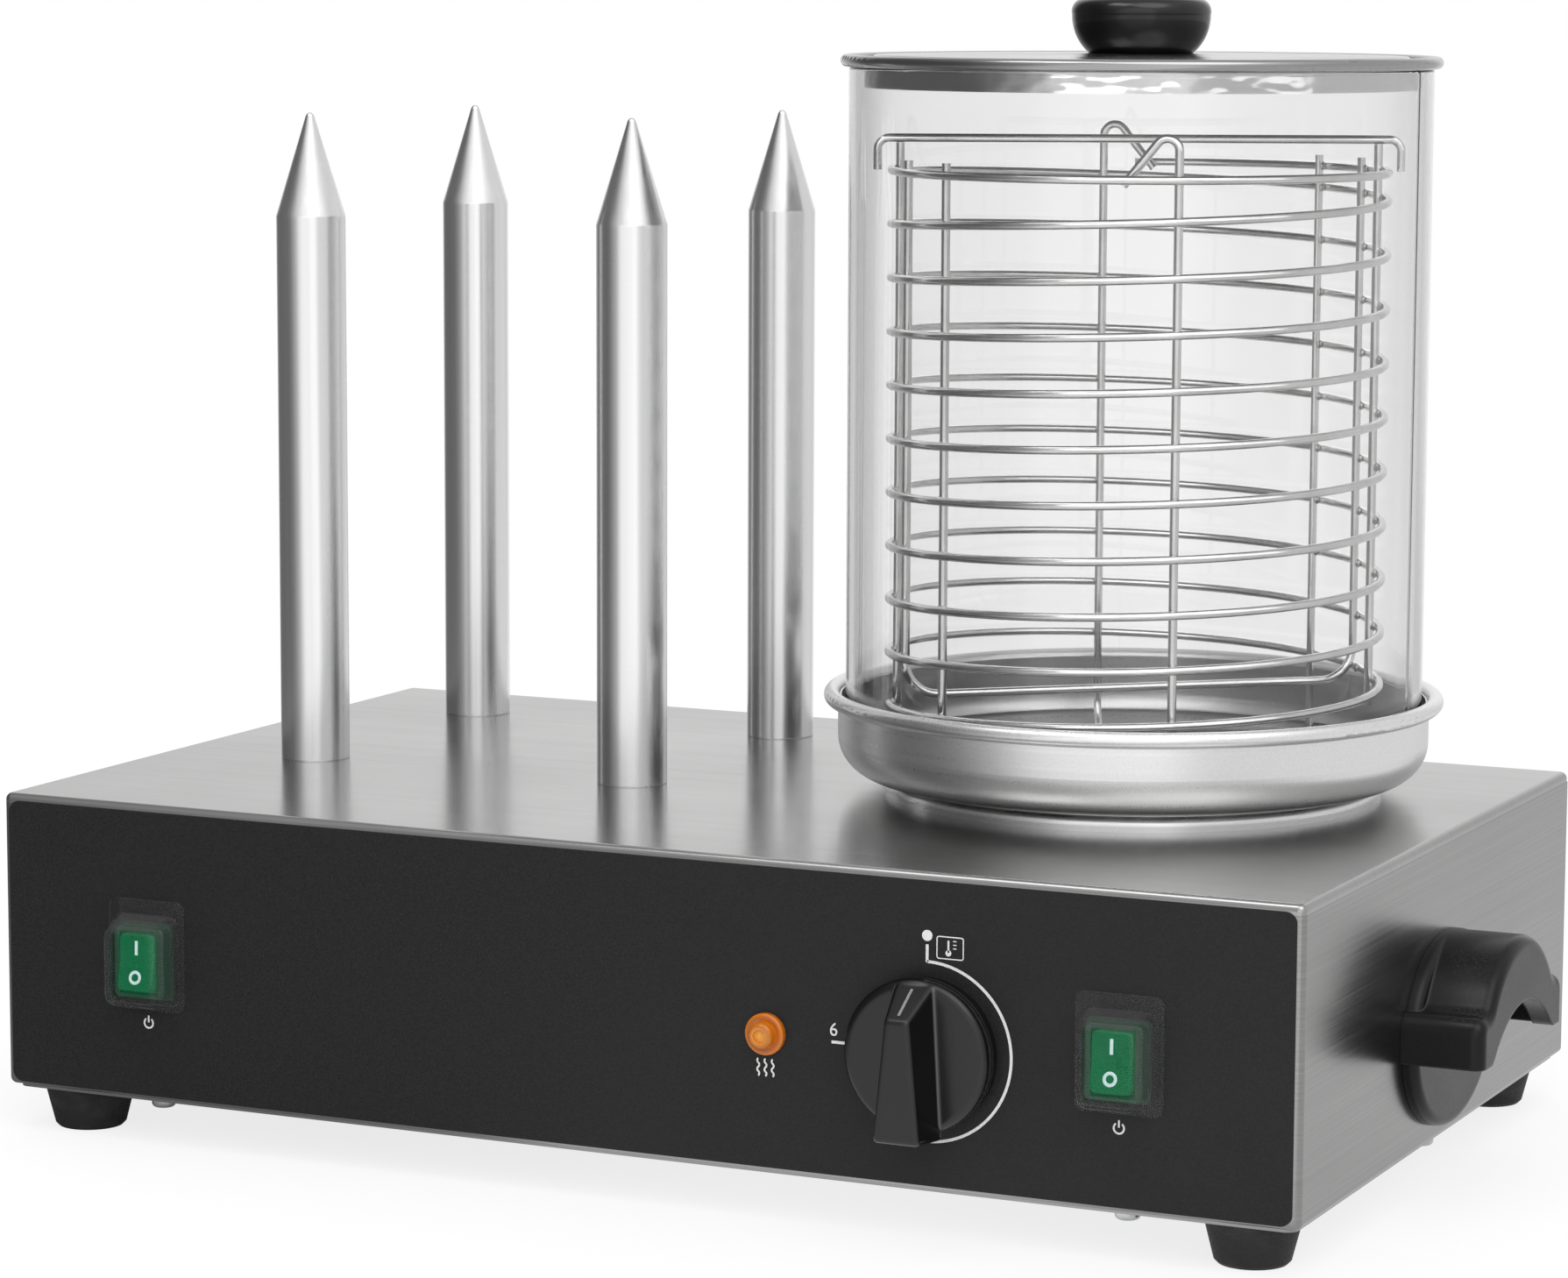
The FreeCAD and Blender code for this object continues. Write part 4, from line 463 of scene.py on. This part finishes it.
# Basket: bright drawn stainless wire, one coil welded to two bent frames, two legs and two posts,
# with a bar across the top to lift it by. Each crossing has its own small weld.
bright_wire = new_finish("bright_wire", (0.72, 0.72, 0.72), 0.15, Metallic=1.0)
drawing = marks(bright_wire, (260, 260, 260), 3.0)
tarnish = marks(bright_wire, (45, 45, 45), 3.0)
attach(bright_wire, "Base Color", blended(bright_wire, spread(bright_wire, tarnish, 0.0, 1.0),
                                          (0.6, 0.6, 0.596), (0.74, 0.74, 0.735)))
attach(bright_wire, "Roughness", spread(bright_wire, drawing, 0.12, 0.19))
relief(bright_wire, drawing, 0.000012)
dress(bright_wire, "basket_hooked_frame", "basket_cross_frame", "basket_rods", "basket_top_bar")

weld_steel = plain_metal("weld_steel", (0.55, 0.54, 0.53), 0.32)
wire_radius, coil_radius, coil_pitch = 0.0015, 0.086, 0.018698
coil_foot, coil_start, coil_turns, coil_level_end = 0.151, -156.0, 10, 268.0


def coil_point(turned_by):
    """The middle of the coil's wire where it has turned so far, in degrees from its start."""
    angle = math.radians(coil_start + turned_by)
    return Vector((pot[0] + coil_radius * math.cos(angle), pot[1] + coil_radius * math.sin(angle),
                   coil_foot + coil_pitch * min(turned_by / 360, coil_turns)))


coil = bmesh.new()
stand = Matrix.Translation(coil_point(0)) @ Matrix.Rotation(math.radians(coil_start), 4, "Z")
end = bmesh.ops.create_circle(coil, segments=12, radius=wire_radius,
                              matrix=stand @ Matrix.Rotation(math.pi / 2, 4, "X"))["verts"]
rim = list({edge for vert in end for edge in vert.link_edges})
wound = bmesh.ops.spin(coil, geom=end + rim, cent=pot, axis=(0, 0, 1), dvec=(0, 0, coil_pitch / 90),
                       angle=math.radians(360 * coil_turns), steps=90 * coil_turns)["geom_last"]
bmesh.ops.spin(coil, geom=wound, cent=pot, axis=(0, 0, 1), angle=math.radians(coil_level_end),
               steps=round(coil_level_end / 4))
for face in coil.faces:
    face.smooth = True
bmesh.ops.holes_fill(coil, edges=[edge for edge in coil.edges if edge.is_boundary])
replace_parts(piece("basket_wound_wire", coil, bright_wire, "basket"), "basket_coil")

upright_angles = {"hooks": (-60, 120), "frame": (-140, 40), "legs": (-120, 60), "posts": (-156, 24)}
weld_shape = Matrix.Diagonal((0.0009, 0.0017, 0.0017, 1.0))
welds = bmesh.new()
for angle in [angle for pair in upright_angles.values() for angle in pair]:
    first = (angle - coil_start) % 360
    outward = Vector((math.cos(math.radians(angle)), math.sin(math.radians(angle)), 0))
    turn_out = Matrix.Rotation(math.radians(angle), 4, "Z")
    for turn in range(coil_turns + (first < coil_level_end)):
        spot = coil_point(first + 360 * turn) - outward * (wire_radius + 0.0001)
        bmesh.ops.create_icosphere(welds, subdivisions=2, radius=1.0,
                                   matrix=Matrix.Translation(spot) @ turn_out @ weld_shape)
piece("basket_welds", welds, weld_steel, "basket")


# Handles: arches of black moulded plastic with a satin skin, open below for the fingers and
# screwed to the sides.
# The handles' edges get a faint painted highlight.
dress(black_moulding("handle_black", 0.005, 0.28, 900, 0.0014, 0.2, 0.24), "handle_left", "handle_right")


# Switches: black housings clipped through the front, each with a clear green rocker that a lamp
# lights from behind, and a soft silicone cover over it. Bar and ring are moulded in white.
switch_z = 0.0656


def near(finish, middle, half, fade):
    """1 inside a flat box round a point of the front, fading to 0 outside it."""
    centred = from_centre(finish, (middle[0], 0, middle[1]), (1, 0, 1))
    out = node(finish, "VectorMath", {0: centred}, operation="ABSOLUTE").outputs[0]
    sides = node(finish, "SeparateXYZ", {0: out}).outputs
    shares = [node(finish, "MapRange", {"Value": sides[axis], "From Min": reach + fade, "From Max": reach},
                   interpolation_type="SMOOTHSTEP").outputs[0] for axis, reach in zip("XZ", half)]
    return node(finish, "Math", {0: shares[0], 1: shares[1]}, operation="MULTIPLY").outputs[0]


rocker_green = new_finish("rocker_green", (0.004, 0.11, 0.04), 0.3, Specular_IOR_Level=0.12,
                          Emission_Color=(0.0, 0.12, 0.042, 1.0), Emission_Strength=0.5)
bloom = marks(rocker_green, (120, 120, 120), 3.0)
attach(rocker_green, "Base Color", blended(rocker_green, spread(rocker_green, bloom, 0.0, 1.0),
                                           (0.002, 0.062, 0.023), (0.004, 0.088, 0.033)))
attach(rocker_green, "Roughness", spread(rocker_green, bloom, 0.25, 0.35))
dress(rocker_green, "rocker_left", "rocker_right")

rocker_white = new_finish("rocker_white", (0.7, 0.85, 0.84), 0.4, Emission_Color=(0.5, 0.8, 0.8, 1.0),
                          Emission_Strength=0.12)
speck = marks(rocker_white, (2500, 2500, 2500), 2.0)
attach(rocker_white, "Base Color", blended(rocker_white, spread(rocker_white, speck, 0.0, 1.0),
                                           (0.48, 0.64, 0.62), (0.6, 0.76, 0.74)))

for side, x in switch_places.items():
    switch_black = black_moulding("switch_black_" + side, 0.008, 0.42, 1200, 0.0004)
    # Painted light: the black housing round the rocker glows green, as if lit by the rocker's lamp.
    painted_glow = near(switch_black, (x, switch_z), (0.0075, 0.0105), 0.005)
    attach(switch_black, "Emission Color",
           blended(switch_black, painted_glow, (0.0, 0.0, 0.0), (0.001, 0.075, 0.028)))
    switch_black.node_tree.nodes["Principled BSDF"].inputs["Emission Strength"].default_value = 0.6
    dress(switch_black, "switch_housing_" + side)
    silicone = new_finish("clear_silicone_" + side, (0.12, 0.12, 0.122), 0.16, Specular_IOR_Level=1.0)
    bloom = marks(silicone, (420, 420, 160), 3.0)
    painted_glow_window = near(silicone, (x, switch_z), (0.0068, 0.0098), 0.0035)
    # Painted light: the cover turns deep green over the rocker, the glow of its lamp painted into the
    # colour.
    attach(silicone, "Base Color",
           blended(silicone, painted_glow_window, (0.115, 0.115, 0.117), (0.004, 0.055, 0.024)))
    attach(silicone, "Roughness", spread(silicone, bloom, 0.15, 0.22))
    turned_away = node(silicone, "LayerWeight", {"Blend": 0.4}).outputs["Facing"]
    smoke = node(silicone, "Math", {0: spread(silicone, turned_away, 0.08, 0.5, 0.25, 1.0),
                                    1: spread(silicone, bloom, -0.01, 0.02)}).outputs[0]
    depth = node(silicone, "SeparateXYZ", {0: node(silicone, "TexCoord").outputs["Object"]}).outputs["Y"]
    in_front = spread(silicone, depth, 1.0, 0.0, overlay_front - 0.00006, overlay_front - 0.00003)
    shown = node(silicone, "Math", {0: smoke, 1: in_front}, operation="MULTIPLY").outputs[0]
    attach(silicone, "Alpha", shown)
    eased = node(silicone, "Bevel", {"Radius": 0.0008}, samples=6).outputs[0]
    relief(silicone, bloom, 0.000002, eased)
    dress(silicone, "switch_boot_" + side)

rocker_pivot, rocker_face, rocker_slope = -0.1497, -0.1539, math.atan(0.09)
rocker_dip, rocker_rest_tilt = 0.0009, math.radians(-7)
bar_shape = Matrix.Diagonal((0.0011, 0.0003, 0.005, 1.0))
ring_line = Matrix.Translation((0, 0, 0.0019)) @ Matrix.Rotation(math.pi / 2, 4, "Y")
ring_line @= Matrix.Diagonal((1.0, 0.3, 1.0, 1.0))
for side, x in switch_places.items():
    signs = bmesh.new()
    for level, tilt in ((0.0051, rocker_slope), (-0.0052, -rocker_slope)):
        spot = Vector((x, rocker_face + rocker_dip * (1 - abs(level) / 0.01), switch_z + level))
        place = Matrix.Translation(spot) @ Matrix.Rotation(tilt, 4, "X")
        if level > 0:
            bmesh.ops.create_cube(signs, size=1.0, matrix=place @ bar_shape)
        else:
            ring = bmesh.ops.create_circle(signs, segments=8, radius=0.00055,
                                           matrix=place @ ring_line)["verts"]
            rim = list({edge for vert in ring for edge in vert.link_edges})
            bmesh.ops.spin(signs, geom=ring + rim, cent=spot, axis=place.to_3x3() @ Vector((0, 1, 0)),
                           angle=2 * math.pi, steps=32, use_merge=True)
    pressed = Matrix.Translation((0, rocker_pivot, switch_z)) @ Matrix.Rotation(rocker_rest_tilt, 4, "X")
    pressed @= Matrix.Translation((0, -rocker_pivot, -switch_z))
    bmesh.ops.transform(signs, verts=signs.verts, matrix=pressed)
    piece("rocker_signs_" + side, signs, rocker_white, "rocker_" + side)


# Pilot lamp: an amber plastic lens pushed through the front from outside, with a white body and
# nut behind, and a small neon that lights the middle of the lens.
lamp_x, lamp_z = 0.056, 0.0622
amber = new_finish("amber_lens", (0.75, 0.22, 0.015), 0.14, Coat_Weight=0.15)
from_middle = node(amber, "VectorMath", {0: from_centre(amber, (lamp_x, 0, lamp_z), (1, 0, 1))},
                   operation="LENGTH").outputs["Value"]
glow = spread(amber, from_middle, 1.0, 0.0, 0.0, 0.0045)
step = node(amber, "Math", {0: from_middle, 1: 0.0011}, operation="PINGPONG").outputs[0]
steps = spread(amber, step, 0.0, 1.0, 0.0001, 0.0009)
ribs = marks(amber, (700, 700, 700), 2.0)
stepped = blended(amber, spread(amber, steps, 0.0, 0.5, 0.0, 1.0),
                  (0.46, 0.12, 0.002), (0.13, 0.024, 0.001))
attach(amber, "Base Color", blended(amber, glow, stepped, (0.55, 0.22, 0.02)))
attach(amber, "Emission Color", blended(amber, glow, (0.1, 0.025, 0.001), (0.3, 0.14, 0.02)))
amber.node_tree.nodes["Principled BSDF"].inputs["Emission Strength"].default_value = 0.4
attach(amber, "Roughness", spread(amber, ribs, 0.1, 0.25))
relief(amber, steps, 0.0001)
dress(amber, "lamp_lens")


def plain_moulding(name, colour, roughness):
    """Plain moulded plastic or card: a fine skin with a little colour change."""
    finish = new_finish(name, colour, roughness)
    skin = marks(finish, (800, 800, 800), 3.0)
    dull = tuple(c * 0.8 for c in colour)
    attach(finish, "Base Color", blended(finish, spread(finish, skin, 0.0, 1.0), dull, colour))
    attach(finish, "Roughness", spread(finish, skin, roughness - 0.08, roughness + 0.08))
    relief(finish, skin, 0.00002)
    return finish


white_moulding = plain_moulding("white_moulding", (0.74, 0.74, 0.71), 0.45)
dress(white_moulding, "lamp_body", "lamp_nut", "terminal_block")


# Thermostat: a brown phenolic case behind the front, a ring and a knob before it, and a thin copper
# tube to the bulb that feels the hot plate. The knob has a pale line let into its sloping end.
thermostat_case = plain_moulding("thermostat_case", (0.075, 0.045, 0.03), 0.5)
dress(thermostat_case, "thermostat_body", "thermal_cutout")
dress(plain_metal("copper_tube", (0.75, 0.36, 0.22), 0.3), "sensor_bulb")

slope_front = Vector((dial_x, -0.1705, dial_z + 0.0145))
slope_back = Vector((dial_x, -0.155, dial_z + 0.0241))
run = (slope_back - slope_front).normalized()
out = Vector((1, 0, 0)).cross(run)
pointer_grey = new_finish("pointer_grey", (0.32, 0.32, 0.32), 0.5)
lighter_share = marks(pointer_grey, (1500, 1500, 1500), 3.0)
attach(pointer_grey, "Base Color", blended(pointer_grey, spread(pointer_grey, lighter_share, 0.0, 1.0),
                                           (0.12, 0.12, 0.12), (0.26, 0.26, 0.26)))
pointer = bmesh.new()
spot = slope_front.lerp(slope_back, 0.5)
stand = Matrix((Vector((1, 0, 0)), run, out)).transposed().to_4x4()
bmesh.ops.create_cube(pointer, size=1.0, matrix=Matrix.Translation(spot) @ stand
                      @ Matrix.Diagonal((0.0009, 0.0125, 0.0003, 1.0)))
piece("dial_pointer", pointer, pointer_grey, "dial")


# Wiring, gland and earth: silicone covered leads inside, a black nylon gland with its lock nut
# through the back, and a brass stud for the earth beside it.
dress(plain_moulding("wire_insulation", (0.36, 0.035, 0.028), 0.5), "wiring")
dress(black_moulding("gland_black", 0.016, 0.48, 1000, 0.0004), "cable_gland", "gland_locknut")
earth_brass = turned_metal("earth_brass", (0.15, 0.145, 0.043), (0, 1, 0),
                           (0.5, 0.36, 0.14), (0.72, 0.54, 0.24), 0.28)
dress(earth_brass, "earth_stud")


# The set: a white floor and surroundings, soft light from wide boxes all round, and the camera low
# and to the right. Metal mirrors a grey studio with soft bright and dark patches.
studio_grey = 0.5
studio_patches = (((0.24, -0.97, 0.0), 0.93, 0.79, 0.55), ((0.28, -0.5, 0.82), 0.88, 0.5, 0.32),
                  ((0.98, 0.17, 0.1), 0.62, 0.17, 0.26), ((-1.0, -0.05, 0.0), 0.87, 0.34, -0.36),
                  ((-0.42, 0.9, 0.2), 0.95, 0.74, 0.5), ((0.36, -0.39, 0.85), 0.965, 0.87, 1.6))


def surroundings(finish, direction):
    """How bright the studio is in a direction."""
    bright = studio_grey
    for towards, narrow, wide, strength in studio_patches:
        facing = node(finish, "VectorMath", {0: direction, 1: Vector(towards).normalized()},
                      operation="DOT_PRODUCT").outputs["Value"]
        patch = node(finish, "MapRange", {"Value": facing, "From Min": wide, "From Max": narrow},
                     interpolation_type="SMOOTHSTEP").outputs[0]
        bright = node(finish, "Math", {0: patch, 1: strength, 2: bright},
                      operation="MULTIPLY_ADD").outputs[0]
    return bright


def set_level(finish, direction):
    """White where the set is seen directly or through glass, the studio in light and reflections."""
    rays = node(finish, "LightPath").outputs
    seen = node(finish, "Math", {0: rays["Is Camera Ray"], 1: rays["Is Transmission Ray"]}).outputs[0]
    straight = node(finish, "Math", {0: seen, 1: rays["Glossy Depth"]},
                    operation="SUBTRACT", use_clamp=True).outputs[0]
    return node(finish, "MapRange", {"Value": straight, "To Min": surroundings(finish, direction),
                                     "To Max": 1.0}).outputs[0]


floor_white = new_finish("floor_white", (0.82, 0.82, 0.82), 0.8, Specular_IOR_Level=0.1)
rays = node(floor_white, "LightPath").outputs
seen = node(floor_white, "Math", {0: rays["Is Camera Ray"], 1: rays["Is Glossy Ray"]}).outputs[0]
seen = node(floor_white, "Math", {0: seen, 1: rays["Is Transmission Ray"]}, use_clamp=True).outputs[0]
place = node(floor_white, "TexCoord").outputs["Object"]
far = node(floor_white, "VectorMath", {0: place}, operation="LENGTH").outputs["Value"]
even = spread(floor_white, far, 0.8, 1.0, 0.3, 1.1)
share = node(floor_white, "Math", {0: seen, 1: even}, operation="MULTIPLY").outputs[0]
direction = node(floor_white, "VectorMath", {0: place}, operation="NORMALIZE").outputs[0]
glow = node(floor_white, "Emission", {"Color": (1, 1, 1, 1),
                                      "Strength": set_level(floor_white, direction)}).outputs[0]
shader = floor_white.node_tree.nodes["Principled BSDF"].outputs[0]
mixed = node(floor_white, "MixShader", {0: share, 1: shader, 2: glow}).outputs[0]
floor_white.node_tree.links.new(mixed, floor_white.node_tree.nodes["Material Output"].inputs["Surface"])

floor_radius = 30.0
ground = bmesh.new()
bmesh.ops.create_circle(ground, cap_ends=True, segments=64, radius=floor_radius)
floor_mesh = bpy.data.meshes.new("floor")
ground.to_mesh(floor_mesh)
ground.free()
floor_mesh.materials.append(floor_white)
floor = bpy.data.objects.new("floor", floor_mesh)
bpy.context.collection.objects.link(floor)

studio = bpy.data.worlds.new("studio")
studio.use_nodes = True
bpy.context.scene.world = studio
direction = node(studio, "TexCoord").outputs["Generated"]
backdrop = studio.node_tree.nodes["Background"].inputs
backdrop["Color"].default_value = (1.0, 1.0, 1.0, 1.0)
studio.node_tree.links.new(set_level(studio, direction), backdrop["Strength"])

aim = Vector((0.0, 0.0, 0.17))
soft_boxes = {"box_front": (14, 26, 2.2, 2.0, 1.6, 13), "box_right": (70, 24, 2.4, 1.8, 1.6, 9),
              "box_above": (180, 80, 2.0, 1.8, 1.4, 9), "box_behind": (205, 32, 2.4, 1.8, 1.4, 7),
              "box_left": (-110, 38, 2.4, 1.6, 1.4, 6), "box_top_left": (-30, 66, 1.8, 0.8, 0.6, 4)}
for name, (azimuth, elevation, distance, wide, high, power) in soft_boxes.items():
    lamp = bpy.data.lights.new(name, "AREA")
    lamp.shape, lamp.size, lamp.size_y, lamp.energy = "RECTANGLE", wide, high, power
    box = bpy.data.objects.new(name, lamp)
    turn, rise = math.radians(azimuth), math.radians(elevation)
    towards = Vector((math.sin(turn) * math.cos(rise), -math.cos(turn) * math.cos(rise), math.sin(rise)))
    box.location = aim + towards * distance
    box.rotation_euler = towards.to_track_quat("Z", "Y").to_euler()
    box.visible_camera = False
    box.visible_glossy = name == "box_top_left"
    bpy.context.collection.objects.link(box)

camera = bpy.data.cameras.new("camera")
frame_wide, focal_length = 1789, 5609
camera.sensor_width = 36.0
camera.lens = focal_length / frame_wide * camera.sensor_width
camera.clip_start, camera.clip_end = 0.05, 100.0
viewer = bpy.data.objects.new("camera", camera)
viewer.location = (0.7273, -1.5686, 0.4035)
turned_right, turned_down, leaned = math.radians(25.06), math.radians(7.65), math.radians(0.21)
pointed = Matrix.Rotation(turned_right, 3, "Z") @ Matrix.Rotation(math.pi / 2 - turned_down, 3, "X")
viewer.rotation_euler = (pointed @ Matrix.Rotation(leaned, 3, "Z")).to_euler()
bpy.context.collection.objects.link(viewer)
bpy.context.scene.camera = viewer
bpy.context.scene.view_settings.view_transform = "Standard"
